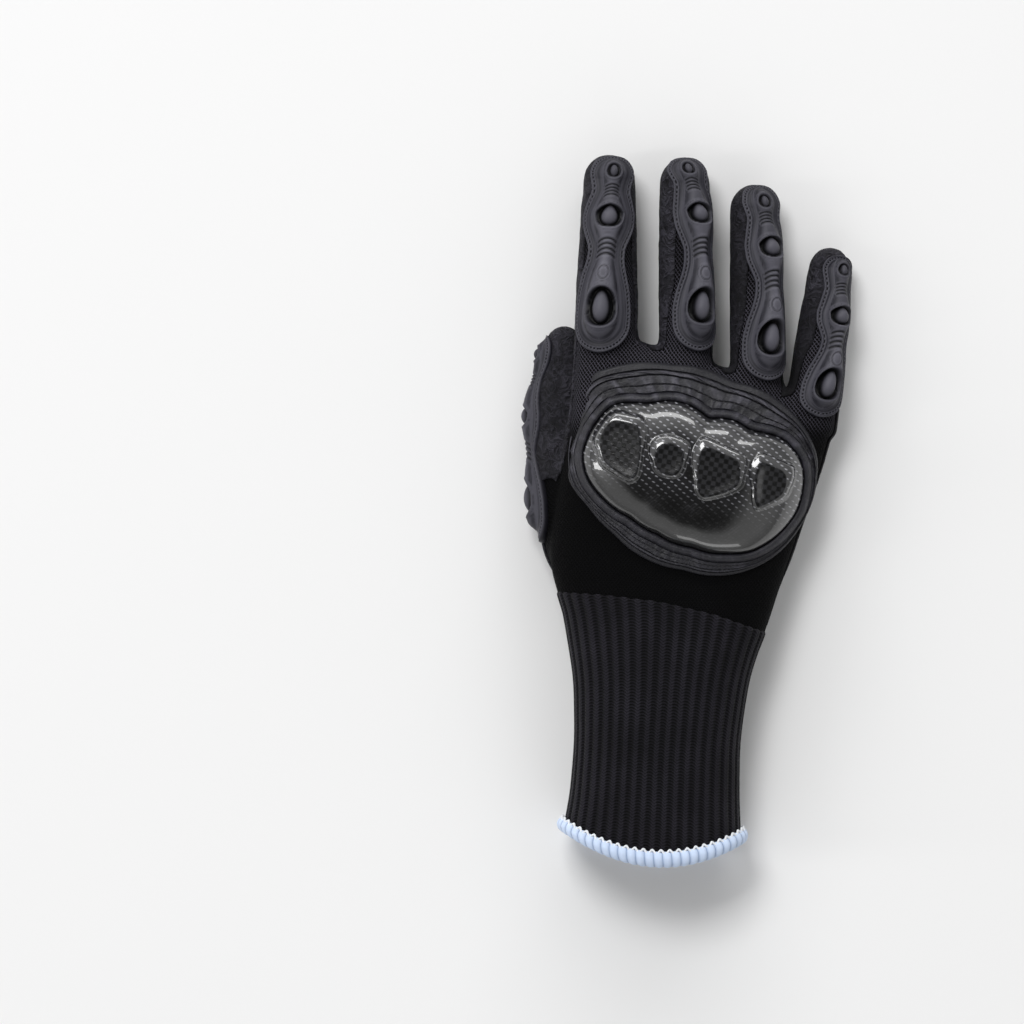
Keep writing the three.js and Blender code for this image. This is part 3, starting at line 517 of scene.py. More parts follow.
class HeightMap:
    # height of the top of some points over a grid in plan, blurred and read between its cells
    def __init__(self, points, cell=1.5, blur=3):
        self.cell, self.low = cell, points[:, :2].min(0) - 6
        shape = np.ceil((points[:, :2].max(0) + 6 - self.low) / cell).astype(int)
        i, j = ((points[:, :2] - self.low) / cell).astype(int).T
        total, count = np.zeros(shape), np.zeros(shape)
        np.add.at(total, (i, j), points[:, 2])
        np.add.at(count, (i, j), 1)
        for _ in range(8):
            wide, many = np.pad(total, 1), np.pad(count, 1)
            near = sum(wide[a:a + shape[0], b:b + shape[1]] for a in range(3) for b in range(3))
            n = sum(many[a:a + shape[0], b:b + shape[1]] for a in range(3) for b in range(3))
            empty = (count == 0) & (n > 0)
            total[empty], count[empty] = near[empty] / n[empty], 1
        self.z = total / np.maximum(count, 1)
        for _ in range(blur):
            wide = np.pad(self.z, 1, mode="edge")
            self.z = sum(wide[a:a + shape[0], b:b + shape[1]] for a in range(3) for b in range(3)) / 9

    def __call__(self, x, y):
        q = (np.stack([x, y], -1) - self.low) / self.cell - 0.5
        q = np.clip(q, 0, np.array(self.z.shape) - 1.001)
        i = q.astype(int)
        f = q - i
        a, b = i[..., 0], i[..., 1]
        u, v = f[..., 0], f[..., 1]
        z = self.z
        return (z[a, b] * (1 - u) * (1 - v) + z[a + 1, b] * u * (1 - v) + z[a, b + 1] * (1 - u) * v
                + z[a + 1, b + 1] * u * v)


backAt = HeightMap(handPoints[(handNormals[:, 2] > 0.25) & (handPoints[:, 2] > 9)])


def buildHand():
    # the smooth skin, pushed in under the cuff, with wrinkles as ridged noise along its normals
    x, y, z = handPoints.T
    under = smoothStep(0.5, 3.0, cuffLine(x, z) - y)
    stretched = handPoints * np.array([1.0, 0.35, 1.0])
    folds = 1 - np.abs(latticeNoise(stretched, 9.0, 3, 2)) * 2
    knitArea = smoothStep(12, 20, z) * smoothStep(-26, -14, y)
    creases = 1 - np.abs(latticeNoise(handPoints * np.array([0.4, 1.0, 0.4]), 7.0, 8, 2)) * 2
    fingers = smoothStep(44, 58, y)
    push = hand["wrinkle"] * (folds * knitArea * (1 - fingers) * 0.8 + creases * fingers * 0.6) - under * hand["skirt"]
    outer = handPoints + handNormals * push[:, None]
    outer[:, 2] = np.maximum(outer[:, 2], coatReach)
    inner = relaxed(handPoints - handNormals * glove["liner"], handQuads, np.full(len(handPoints), 0.4), 2)
    points, faces = walled(outer, inner, handQuads)
    ob = makeMesh("knitHand", points, faces, knitMaterial)
    bent = np.clip(handNormals, -0.98, 0.98)
    stitchU = x + 9.0 * (np.arcsin(bent[:, 0]) - bent[:, 0])
    stitchV = y + 7.0 * (np.arcsin(bent[:, 1]) - bent[:, 1])
    stretch = 0.12 + 0.88 * smoothStep(20, 36, y) - 0.35 * smoothStep(70, 90, y)
    for label, values in (("stitchU", stitchU), ("stitchV", stitchV), ("stretch", stretch)):
        setAttribute(ob, label, np.concatenate([values, values]))
    return finishPiece(ob, ["knit_hand"])


buildHand()
print("knitted hand built")


# ribbed cuff: its columns and courses come from the two attributes
def makeRib():
    mat, shader = newMaterial("ribbedKnit", Roughness=0.8)
    shader.inputs["Sheen Weight"].default_value = 0.06
    shader.inputs["Specular IOR Level"].default_value = 0.07
    where = millimetres(mat)
    rib = attribute(mat, "rib")
    course = attribute(mat, "course")
    valley = calc(mat, "MULTIPLY", calc(mat, "ABSOLUTE", calc(mat, "SUBTRACT", calc(mat, "FRACT", rib), 0.5)), 2.0)
    rest = calc(mat, "SUBTRACT", 1.0, valley)
    sag = calc(mat, "MULTIPLY_ADD", calc(mat, "MULTIPLY", rest, rest), -0.9, course)
    gap = calc(mat, "POWER", calc(mat, "MULTIPLY", calc(mat, "PINGPONG", sag, 0.5), 2.0), 2.2)
    inValley = addNode(mat, "ShaderNodeMapRange", {"Value": valley, "From Min": 0.3, "From Max": 0.62}).outputs[0]
    gap = calc(mat, "MULTIPLY", gap, calc(mat, "MULTIPLY_ADD", inValley, 0.5, 0.5))
    fuzz = noiseOf(mat, where, 3.0, 4.0)
    broad = noiseOf(mat, where, 0.07, 3.0)
    height = calc(mat, "MULTIPLY_ADD", fuzz, 0.3, calc(mat, "SUBTRACT", 1.0, gap))
    height = calc(mat, "MULTIPLY_ADD", inValley, -0.3, height)
    # painted highlight on the ribs' and loops' crowns, painted shade in the valleys between ribs and in the gaps
    # between courses
    tone = calc(mat, "MULTIPLY", height, calc(mat, "MULTIPLY_ADD", broad, 0.5, 0.45), clamp=True)
    skin = ramp(mat, tone, [(0.1, 0.0006), (0.45, (0.0040, 0.0037, 0.0050)), (1.0, (0.021, 0.0195, 0.026))])
    mat.node_tree.links.new(skin, shader.inputs["Base Color"])
    relief(mat, shader, height, 0.8, 0.35)
    return mat


cuff = {
    "ribs": 43,
    "perRib": 9,
    "rows": 180,
    "course": 1.06,
    "ribRise": 0.42,
    "raised": 0.35,         # how far the ribs' start stands over the hand's fabric
    "tuck": 0.5,            # how far its very first courses dip under
    "innerRows": 40,
}


def buildCuff():
    # for each column the surface runs from the line where the ribs start to the edge; rounded ribs along it
    cols = cuff["ribs"] * cuff["perRib"]
    angle = (np.arange(cols) + 0.5) * 2 * np.pi / cols
    vTable = np.linspace(4, 11, 500)
    table = palmSurface(vTable[:, None], angle[None, :], 0.0)
    above = table[..., 1] > cuffLine(table[..., 0], table[..., 2])
    start = vTable[np.clip(above.sum(0), 0, len(vTable) - 1)]
    start = sum(np.roll(start, k) for k in range(-3, 4)) / 7
    t = np.linspace(0, 1, cuff["rows"])[:, None]
    v = start[None, :] * (1 - t) + 11 * t
    base = palmSurface(v, angle[None, :], 0.0)
    down = base[0, :, 1][None, :] - base[..., 1]
    # equal ribs round the cuff, by length along its middle ring
    ring = base[cuff["rows"] // 2]
    step = np.linalg.norm(np.roll(ring, -1, 0) - ring, axis=1)
    around = np.concatenate([[0], np.cumsum(step)[:-1]]) / step.sum() * cuff["ribs"]
    rib = np.broadcast_to(around[None, :], down.shape)
    course = down / cuff["course"]
    crown = smoothStep(0.05, 0.75, np.sin(np.pi * (rib % 1)))
    grow = cuff["ribRise"] * (crown - 0.8)
    grow = grow + cuff["raised"] * smoothStep(0, 1.5, down) * (1 - smoothStep(1.5, 9, down))
    grow = grow - cuff["tuck"] * (1 - smoothStep(0, 1.2, down))
    grow = grow + 0.25 * latticeNoise(base * np.array([1, 0.3, 1]), 12.0, 5, 2) * smoothStep(3, 12, down)
    coated = smoothStep(-64.5, -60, base[..., 1]) * (1 - smoothStep(12, 17, base[..., 2]))
    grow = np.where(coated > 0, np.minimum(grow, 0.05 + (1 - coated) * 0.4), grow)
    normals = gridNormals(base)
    outer = base + normals * grow[..., None]
    outer[..., 2] = np.maximum(outer[..., 2], 0.3)
    pick = np.linspace(0, cuff["rows"] - 1, cuff["innerRows"]).astype(int)
    inner = base[pick] - normals[pick] * glove["liner"]
    n = outer.shape[0] * cols
    quads = gridFaces(cuff["rows"], cols, wrapCols=True)
    inQuads = gridFaces(cuff["innerRows"], cols, wrapCols=True)[:, ::-1] + n
    k = np.arange(cols)
    nx = (k + 1) % cols
    top = np.stack([k, n + k, n + nx, nx], -1)
    lastOut, lastIn = (cuff["rows"] - 1) * cols, n + (cuff["innerRows"] - 1) * cols
    bottom = np.stack([lastOut + nx, lastIn + nx, lastIn + k, lastOut + k], -1)
    faces = np.concatenate([quads, inQuads, top[:, ::-1], bottom[:, ::-1]])
    points = np.concatenate([outer.reshape(-1, 3), inner.reshape(-1, 3)])
    if not facesOut(outer, quads):
        faces = faces[:, ::-1]
    ob = makeMesh("ribbedCuff", points, [faces], makeRib())
    setAttribute(ob, "rib", np.concatenate([rib.ravel(), rib[pick].ravel()]))
    setAttribute(ob, "course", np.concatenate([course.ravel(), course[pick].ravel()]))
    return finishPiece(ob, ["ribbed_cuff"])


def gridNormals(grid):
    # cross product of the steps round and down a grid whose columns close, turned away from its rows' middles
    down = np.gradient(grid, axis=0)
    side = (np.roll(grid, -1, 1) - np.roll(grid, 1, 1)) / 2
    n = np.cross(side, down)
    n /= np.maximum(np.linalg.norm(n, axis=-1, keepdims=True), 1e-9)
    away = grid - grid.mean(1, keepdims=True)
    return -n if (n * away).sum() < 0 else n


def facesOut(grid, quads):
    # whether the faces' normals point away from the middles of their rows
    flat = grid.reshape(-1, 3)
    a, b, c, d = (flat[quads[:, i]] for i in range(4))
    n = np.cross(c - a, d - b)
    away = (a + c) / 2 - np.repeat(grid.mean(1), grid.shape[1], 0)[quads[:, 0]]
    return (n * away).sum() > 0


buildCuff()
print("cuff built")


# foam coating: matt and sandy, with pale crinkles on the thumb's side and at the fingertips
def makeCoat():
    mat, shader = newMaterial("sandyFoam", Roughness=0.72)
    shader.inputs["Specular IOR Level"].default_value = 0.22
    where = millimetres(mat)
    crinkle = attribute(mat, "crinkle")
    bent = addNode(mat, "ShaderNodeVectorMath", {0: where, 1: addNode(mat, "ShaderNodeTexNoise", {
        "Vector": where, "Scale": 0.35, "Detail": 2.0}).outputs["Color"]}, operation="ADD").outputs[0]
    cells = addNode(mat, "ShaderNodeTexVoronoi", {"Vector": bent, "Scale": 0.26},
                    feature="DISTANCE_TO_EDGE").outputs[0]
    ridge = calc(mat, "SUBTRACT", 1.0, calc(mat, "MULTIPLY", cells, 2.4, clamp=True))
    worms = noiseOf(mat, bent, 0.24, 2.5, 0.5, 1.4)
    fromMiddle = calc(mat, "ABSOLUTE", calc(mat, "SUBTRACT", worms, 0.5))
    worms = calc(mat, "SUBTRACT", 1.0, calc(mat, "MULTIPLY", fromMiddle, 6.5, clamp=True))
    lines = calc(mat, "MULTIPLY", calc(mat, "MAXIMUM", calc(mat, "MULTIPLY", ridge, 0.5), worms), crinkle)
    grain = noiseOf(mat, where, 3.5, 5.0, 0.7)
    pores = addNode(mat, "ShaderNodeTexVoronoi", {"Vector": where, "Scale": 2.2}).outputs[0]
    height = calc(mat, "MULTIPLY_ADD", grain, 0.5, calc(mat, "MULTIPLY", lines, 1.3))
    height = calc(mat, "MULTIPLY_ADD", pores, 0.2, height)
    broad = noiseOf(mat, where, 0.05, 3.0)
    tone = calc(mat, "MULTIPLY_ADD", broad, 0.5, calc(mat, "MULTIPLY", height, 0.45), clamp=True)
    skin = ramp(mat, tone, [(0.15, 0.0016), (0.5, (0.0040, 0.0037, 0.0055)), (0.95, (0.018, 0.017, 0.023))])
    pale = calc(mat, "MULTIPLY", calc(mat, "MULTIPLY", lines, lines), 0.9, clamp=True)
    mat.node_tree.links.new(mixColour(mat, pale, skin, (0.045, 0.043, 0.056)), shader.inputs["Base Color"])
    mat.node_tree.links.new(ramp(mat, grain, [(0.3, 0.62), (0.7, 0.82)]), shader.inputs["Roughness"])
    relief(mat, shader, height, 1.0, 0.8)
    return mat


coat = {
    "lap": 4.8,              # how far it climbs the fingers' sides, from their middle
    "tip": 11.0,
    "thumbEnd": 10.0,
    "tongueX": -44.6,        # where the coating of the thumb's back ends in a point
    "wristDip": 62.0,
    "wristSide": 40.0,
    "edge": 1.6,             # width of its thinning edge
}


def coatField(points):
    # positive where the coating lies: below the palm's middle, round the fingers' undersides and tips, all
    # round the thumb, and in a rounded tongue at the wrist
    x, y, z = points[..., 0], points[..., 1], points[..., 2]
    row = {key: palmRows[:, i] for i, key in enumerate(palmKeys)}
    middleY = (row["yLeft"] + row["yRight"]) / 2 * glove["length"]
    left = np.interp(-y, -middleY, row["left"]) * glove["palmWidth"]
    right = np.interp(-y, -middleY, row["right"]) * glove["palmWidth"]
    share = np.clip((x - left) / (right - left), 0, 1)
    middle = (np.interp(-y, -middleY, row["midLeft"]) * (1 - share)
              + np.interp(-y, -middleY, row["midRight"]) * share) * glove["palmThick"]
    below = middle - z - 7 * smoothStep(-29, -35, x) * smoothStep(15, 9, y) * smoothStep(-60, -42, y)
    wrist = palmRows[8]
    half = (wrist[3] - wrist[2]) * glove["palmWidth"] / 2 * 0.94
    centre = (wrist[3] + wrist[2]) * glove["palmWidth"] / 2
    down = np.maximum(-coat["wristSide"] - y, 0)
    tongue = (1 - np.sqrt(((x - centre) / half) ** 2 + (down / (coat["wristDip"] - coat["wristSide"])) ** 2)) * 16
    field = np.where(y < -coat["wristSide"], np.minimum(below, tongue), below)
    field = np.where(y > 60, -9.0, field)
    for name, d in digits.items():
        share = (y - d["baseY"]) / straightOf(d)
        spot, wide, _ = digitAt(d, share)
        q = points - spot
        aside = (q * digitAxes(d)[1]).sum(-1)
        close = (np.abs(aside) < wide * 1.35 + 0.8) & (share > 0)
        if name == "thumb":
            mine = np.where(close & (z < 26 - 6 * smoothStep(0.3, 0.6, share)), y - coat["thumbEnd"], -9.0)
            mine = np.where((x > spot[..., 0] + wide * 1.15), -9.0, mine)
            tongue = np.minimum(coat["tongueX"] + 0.28 * (y - coat["thumbEnd"]) - x, 0.62 * (y - coat["thumbEnd"])
                                + x - coat["tongueX"])
            mine = np.where((y < 26) & (z > 14), np.minimum(mine, tongue), mine)
        else:
            roll = np.radians(d["roll"][1])
            height = aside * np.sin(roll) + q[..., 2] * np.cos(roll)
            lap = coat["lap"] - height - 9.0 * (1 - smoothStep(0.12, 0.62, share)) * smoothStep(-2, 4, height)
            tip = (share - 1) * straightOf(d) + coat["tip"] / 3
            mine = np.where(close, np.maximum(np.minimum(lap, (share - 0.1) * straightOf(d)), tip), -9.0)
        field = np.maximum(field, mine)
    return field + 0.5 * latticeNoise(points, 6.0, 21, 2)


def buildCoat():
    # the part of the hand's skin where the field is positive, its border moved onto the field's zero line
    field = coatField(handPoints)
    used, quads = subset(handPoints, handQuads, (field[handQuads] > 0).any(1))
    points, normals, field = handPoints[used], handNormals[used], field[used]
    for _ in range(2):
        slope = np.stack([coatField(points + 0.4 * step) - field for step in np.eye(3)], -1) / 0.4
        slope -= normals * (slope * normals).sum(-1, keepdims=True)
        strength = np.maximum((slope ** 2).sum(-1), 0.25)
        move = -slope * (np.minimum(field, 0) / strength)[:, None]
        length = np.linalg.norm(move, axis=1, keepdims=True)
        points = points + move * np.minimum(1, 1.4 / np.maximum(length, 1e-6))
        field = coatField(points)
    edges = openEdges(quads)
    onRim = np.zeros(len(points), bool)
    onRim[edges] = True
    for _ in range(3):
        total, count = np.zeros_like(points), np.zeros(len(points))
        for a, b in ((0, 1), (1, 0)):
            np.add.at(total, edges[:, a], points[edges[:, b]])
            np.add.at(count, edges[:, a], 1)
        points[onRim] = points[onRim] * 0.5 + 0.5 * total[onRim] / count[onRim][:, None]
    depth = np.full(len(points), 99.0)
    depth[onRim] = 0
    step = edgesOf(quads)
    far = np.linalg.norm(points[step[:, 0]] - points[step[:, 1]], axis=1)
    for _ in range(4):
        for a, b in ((0, 1), (1, 0)):
            np.minimum.at(depth, step[:, a], depth[step[:, b]] + far)
    thick = glove["coat"] * (0.25 + 0.75 * np.sqrt(smoothStep(-0.2, coat["edge"], depth)))
    x, y, z = points.T
    tips = np.maximum.reduce([smoothStep(0.7, 1.0, (y - d["baseY"]) / straightOf(d))
                              * (np.abs(x - digitAt(d, 1)[0][0]) < 12) for d in fingers.values()])
    crinkle = 0.25 + smoothStep(6, -26, x) + tips + 0.5 * smoothStep(40, 60, y) - 0.3 * smoothStep(20, 45, x)
    crinkle = np.clip(crinkle, 0, 1)
    crinkle = crinkle * (0.55 + 0.45 * smoothStep(-0.4, 0.4, latticeNoise(points, 14.0, 9, 2)))
    lumps = latticeNoise(points, 4.5, 4, 2) * 0.3 * crinkle * smoothStep(0, 3, depth)
    sides = smoothStep(9, 15, z) * smoothStep(-14, -30, y)
    outer = points + normals * (glove["gap"] + (thick + lumps) * (1 - 0.9 * sides) - 0.25 * sides)[:, None]
    outer[:, 2] = np.maximum(outer[:, 2], 0.0)
    inner = points + normals * 0.12
    inner[:, 2] = np.maximum(inner[:, 2], 0.3)
    wall, faces = walled(outer, inner, quads)
    ob = makeMesh("palmCoating", wall, faces, makeCoat())
    setAttribute(ob, "crinkle", np.concatenate([crinkle, crinkle]))
    return finishPiece(ob, ["palm_coating"])


buildCoat()
print("coating built")


# moulded rubber: satin, faintly grained, with a painted highlight on its crowns and edges and painted shade, nearly
# black, in its hollows
def makeRubber():
    mat, shader = newMaterial("mouldedRubber", Roughness=0.46)
    shader.inputs["Specular IOR Level"].default_value = 0.17
    where = millimetres(mat)
    # the first attribute is a painted highlight on crowns and edges, the second marks hollows, grooves and stitch marks
    # for painted shade
    paintedHighlight = attribute(mat, "paintedHighlight")
    sunk = attribute(mat, "sunk")
    grain = noiseOf(mat, where, 5.0, 4.0, 0.6)
    broad = noiseOf(mat, where, 0.12, 3.0)
    tone = calc(mat, "MULTIPLY_ADD", broad, 0.16, calc(mat, "MULTIPLY_ADD", paintedHighlight, 0.7, 0.12), clamp=True)
    body = ramp(mat, tone, [(0.0, (0.004, 0.0038, 0.006)), (0.2, (0.0105, 0.0102, 0.0145)),
                            (1.0, (0.105, 0.103, 0.125))])
    # painted shade: nearly black in the hollows, grooves and stitch marks
    mat.node_tree.links.new(mixColour(mat, sunk, body, (0.0016, 0.0016, 0.002)), shader.inputs["Base Color"])
    mat.node_tree.links.new(ramp(mat, grain, [(0.25, 0.44), (0.75, 0.56)]), shader.inputs["Roughness"])
    relief(mat, shader, grain, 0.25, 0.1)
    return mat


rubberMaterial = makeRubber()
guard = {
    "seat": 0.7,             # height of its lowest line over the hand's skin, and how far its underside is below
    "sunk": 1.6,
    "flange": 1.25,
    "rise": 3.0,
    "stitch": 1.5,           # pitch of the moulded stitch marks
    "rows": 244,
    "cols": 68,
}
# shares of the length of the tip pod, first bellows, middle pod, second bellows, oval and big pod in the tables;
# each digit's marks give its own shares, and its bend the spine's shift sideways there
guardPlaces = np.array([0, 0.115, 0.21, 0.335, 0.49, 0.615, 0.78, 1])
# share of the length, half widths of the flange and of the spine as shares of the guard's half, height share,
# and how strong the painted highlight on the spine's crown is
guardRows = np.array([
    [0.00, 0.880, 0.37, 0.30, 0.00], [0.13, 0.930, 0.38, 0.72, 0.05], [0.21, 0.750, 0.25, 0.62, 0.30],
    [0.335, 1.080, 0.58, 1.00, 0.10], [0.40, 1.050, 0.50, 0.96, 0.50], [0.45, 0.880, 0.36, 0.70, 0.75],
    [0.50, 0.710, 0.31, 0.60, 0.80], [0.56, 0.740, 0.32, 0.66, 0.70], [0.615, 0.860, 0.42, 0.84, 0.60],
    [0.70, 1.040, 0.54, 1.00, 0.20], [0.80, 1.150, 0.61, 1.12, -0.02], [0.90, 1.140, 0.61, 1.00, -0.26],
    [1.00, 1.100, 0.60, 0.60, -0.30],
])
# which mark, then half sizes of the recess and of the button in it, as shares of the guard's half, and its depth
pods = [(0, 0.235, 0.27, 0.14, 0.235, 1.4), (2, 0.455, 0.415, 0.27, 0.37, 2.4), (5, 0.50, 0.71, 0.29, 0.61, 3.0)]
bellows = [  # which mark, grooves, pitch in mm, half width as a share of the guard's half
    (1, 4, 1.13, 0.24), (3, 4, 1.75, 0.315),
]


def digitPoint(d, walk, angle, offset):
    # the ray at an angle out of the digit's middle, to its superellipse grown by offset; near the tip the
    # middle turns over the rounded end
    ahead, across = digitAxes(d)
    radius = capOf(d) + 3.0
    turn = np.maximum(d["wrap"] - walk / radius, 0)
    share = np.minimum(1 - (walk - d["wrap"] * radius) / straightOf(d), 1)
    centre, half, high = digitAt(d, share)
    a = (half + offset) * np.cos(turn)
    b = (high + offset) * np.cos(turn)
    s, c = np.sin(angle), np.cos(angle)
    power = glove["fingerPower"]
    reach = (np.abs(s / a) ** power + np.abs(c / b) ** power) ** (-1 / power)
    point = centre + ahead * ((capOf(d) + offset) * np.sin(turn))[..., None]
    point = point + across * (reach * s)[..., None]
    point[..., 2] += reach * c
    return point


def guardPoint(d, along, sideways, height):
    # a place over the digit: share of the guard along it, mm sideways round the skin, and mm above it
    roll = eased(along, [0, 0.35, 1], d["roll"], 0.1)
    radius = capOf(d) + 3.0
    turn = np.maximum(d["wrap"] - along * d["guardLength"] / radius, 0)
    share = np.minimum(1 - (along * d["guardLength"] - d["wrap"] * radius) / straightOf(d), 1)
    around = (digitAt(d, share)[1] + guard["seat"] + guard["flange"]) * np.cos(turn)
    angle = np.radians(roll) + np.clip(sideways / around, -1.25, 1.25)
    return digitPoint(d, along * d["guardLength"], angle, guard["seat"] + height)


def lineReach(u, s, lineU, lineS):
    # distance from each place to a line of points and its mirror image, and the nearest point's way along the line
    best, place = np.full(u.shape, 1e9), np.zeros(u.shape)
    walk = np.concatenate([[0], np.cumsum(np.hypot(np.diff(lineU), np.diff(lineS)))])
    for part in np.array_split(np.arange(len(lineU)), 24):
        gap = (u[..., None] - lineU[part]) ** 2 + (np.abs(s)[..., None] - lineS[part]) ** 2
        nearest = gap.argmin(-1)
        gap = np.take_along_axis(gap, nearest[..., None], -1)[..., 0]
        place = np.where(gap < best, walk[part][nearest], place)
        best = np.minimum(best, gap)
    return np.sqrt(best), place


def guardHalf(along, column, first, last, half):
    # half width from the table, closed by an ellipse at each end
    w = eased(along, guardRows[:, 0], guardRows[:, column], 0.025)
    headA, headB = first
    tailA, tailB = last
    w = w * np.sqrt(np.clip(1 - (np.maximum(headB - along, 0) / (headB - headA)) ** 2, 0, 1))
    w = w * np.sqrt(np.clip(1 - (np.maximum(along - tailA, 0) / (tailB - tailA)) ** 2, 0, 1))
    return w * half


def blurred(values, rounds):
    # averages a grid of values with their neighbours
    for _ in range(rounds):
        wide = np.pad(values, 1, mode="edge")
        rows, cols = values.shape
        values = sum(wide[a:a + rows, b:b + cols] for a in range(3) for b in range(3)) / 9
    return values


def buildGuard(name, d, node):
    # height over the finger as a function of place: flange, spine with shoulders, pods, buttons and grooves
    half, length = d["guardHalf"], d["guardLength"]
    t = np.linspace(0, 1, guard["rows"])
    along = t - np.sin(2 * np.pi * t) / (2 * np.pi) * 0.55
    along = 0.0006 + along * 0.9988
    marks = np.array([0, *d["marks"], 1.0])

    def inTable(share):
        # where a share of this digit's guard lies in the tables
        return np.interp(share, marks, guardPlaces)
    flangeEnds, spineEnds = ((0.0, 0.13), (0.86, 1.0)), ((0.03, 0.13), (0.835, 0.94))
    wide = guardHalf(inTable(along), 1, *flangeEnds, half)
    k = np.linspace(-1, 1, guard["cols"])
    k = np.sign(k) * (1 - (1 - np.abs(k)) ** 1.25)
    u = np.broadcast_to((along * length)[:, None], (guard["rows"], guard["cols"]))
    s = wide[:, None] * k[None, :]
    a = inTable(u / length)
    middle = eased(along, marks, [0, *d["bend"], d["bend"][-1]], 0.05)[:, None]
    fine = 0.5 - 0.5 * np.cos(np.linspace(0, np.pi, 700))
    edge, walk = lineReach(u, s, fine * length, guardHalf(inTable(fine), 1, *flangeEnds, half))
    foot = guardHalf(inTable(fine), 2, *spineEnds, half)
    spineAt = guardHalf(a, 2, *spineEnds, half)
    keep = foot > 0
    inSpine = np.where(np.abs(s) < spineAt, 1.0, -1.0) * lineReach(u, s, fine[keep] * length, foot[keep])[0]
    rim = 1 - (1 - np.clip(edge / 0.8, 0, 1)) ** 2
    height = guard["flange"] * np.sqrt(rim) + 0.14 * np.exp(-((edge - 0.55) / 0.3) ** 2)
    outside = smoothStep(0.0, -0.8, inSpine)
    height -= 0.2 * smoothStep(1.9, 3.0, edge) * outside
    sew = smoothStep(0.35, 0.65, 0.5 + 0.5 * np.cos(2 * np.pi * walk / guard["stitch"]))
    thread = np.exp(-((edge - 1.4) / 0.26) ** 2)
    height -= (0.08 + 0.45 * sew) * thread
    # painted shade in the moulded stitch marks
    paintedShade = sew * smoothStep(0.3, 0.8, thread)
    height -= 0.16 * np.exp(-((inSpine + 0.1) / 0.28) ** 2)
    shoulder = blurred(1 - (1 - np.clip(inSpine / 3.2, 0, 1)) ** 2.2, 10)
    rise = eased(a, guardRows[:, 0], guardRows[:, 3], 0.03) * guard["rise"]
    height += rise * smoothStep(0.0, 0.09, a) * shoulder
    # painted highlight on the spine's crown, as strong as the table's last column says
    pale = eased(a, guardRows[:, 0], guardRows[:, 4], 0.03) * smoothStep(0.3, 3.2, inSpine)
    for number, (mark, recessWide, recessLong, buttonWide, buttonLong, deep) in enumerate(pods):
        # a recess with a raised lip, and a domed button that rises from its floor
        wellWide, wellLong = recessWide * half, recessLong * half
        v = u - d["marks"][mark] * length
        if number == 1:       # an eye pointed towards the tip, with a bell-shaped button that meets its lower lip
            power = 1.55 + 1.1 * smoothStep(-0.4, 0.5, v / wellLong)
            bent = v - 0.12 * wellLong * (1 - np.clip(np.abs(s) / wellWide, 0, 1) ** 2)
            q = ((np.abs(s) / wellWide) ** power + (np.abs(bent) / wellLong) ** power) ** (1 / power)
            taper = 1 + 0.3 * np.clip(v / wellLong, -1, 1)
            b = np.sqrt((s / (buttonWide * half * taper)) ** 2 + ((v - 0.12 * wellLong) / (buttonLong * half)) ** 2)
        else:                 # an egg, its small end towards the fingertip
            taper = 1 + 0.13 * np.clip(v / wellLong, -1, 1)
            q = ((np.abs(s) / (wellWide * taper)) ** 2.1 + (np.abs(v) / wellLong) ** 2.1) ** (1 / 2.1)
            b = np.sqrt((s / (buttonWide * half * taper)) ** 2 + ((v - 0.03 * wellLong) / (buttonLong * half)) ** 2)
        lip = 0.3 / wellWide
        height += 0.26 * np.exp(-((q - 1 - 1.3 * lip) / lip) ** 2)
        well = smoothStep(1.0, 1.0 - 1.5 * lip, q)
        height -= deep * well
        dome = np.sqrt(np.clip(1 - b ** 2, 0, 1))
        height += (deep + 0.3) * dome
        # painted shade, nearly black, on the well's floor round the button
        paintedShade = np.maximum(paintedShade, well * (1 - smoothStep(0.2, 0.75, dome)))
        # painted highlight on the buttons' tops
        pale = np.maximum(pale * (1 - well), 0.32 * smoothStep(0.6, 1.0, dome) * (number > 0))
    for mark, count, pitch, reach in bellows:
        arch = u - d["marks"][mark] * length - 0.16 * s ** 2 + 0.35
        inside = smoothStep(reach * half * 1.1, reach * half * 0.95, np.abs(s))
        for i in range(count):
            line = inside * np.exp(-((arch - (i - (count - 1) / 2) * pitch) / (pitch * 0.21)) ** 2)
            height -= 0.45 * line
            # painted shade in the bellows' grooves
            paintedShade = np.maximum(paintedShade, 0.95 * line)
    ring = np.sqrt((s / 1.7) ** 2 + ((u - d["marks"][4] * length) / 2.5) ** 2)
    height += 0.14 * np.exp(-((ring - 1.08) / 0.09) ** 2) - 0.2 * np.exp(-((ring - 0.93) / 0.08) ** 2)
    # painted shade in the oval's groove
    paintedShade = np.maximum(paintedShade, 0.5 * np.exp(-((ring - 0.93) / 0.09) ** 2))
    top = guardPoint(d, u / length, s + middle, height)
    under = np.linspace(1, -1, 10)[1:-1]
    su = wide[:, None] * under[None, :] * 0.985 + middle
    bottom = guardPoint(d, np.broadcast_to(along[:, None], su.shape), su, np.full(su.shape, -guard["sunk"]))
    left = guardPoint(d, along[:, None], s[:, :1] + middle, np.full((guard["rows"], 1), -guard["sunk"] * 0.8))
    right = guardPoint(d, along[:, None], s[:, -1:] + middle, np.full((guard["rows"], 1), -guard["sunk"] * 0.8))
    grid = np.concatenate([top, right, bottom, left], 1)
    grid[..., 2] = np.maximum(grid[..., 2], 0.0)
    points, faces = tubeParts(grid, flip=True)
    if not facesOut(grid, faces[0]):
        faces = [f[:, ::-1] for f in faces]
    ob = makeMesh(name, points, faces, rubberMaterial)
    bend = sum(np.abs(np.gradient(np.gradient(height, axis=way), axis=way)) for way in (1, 0))
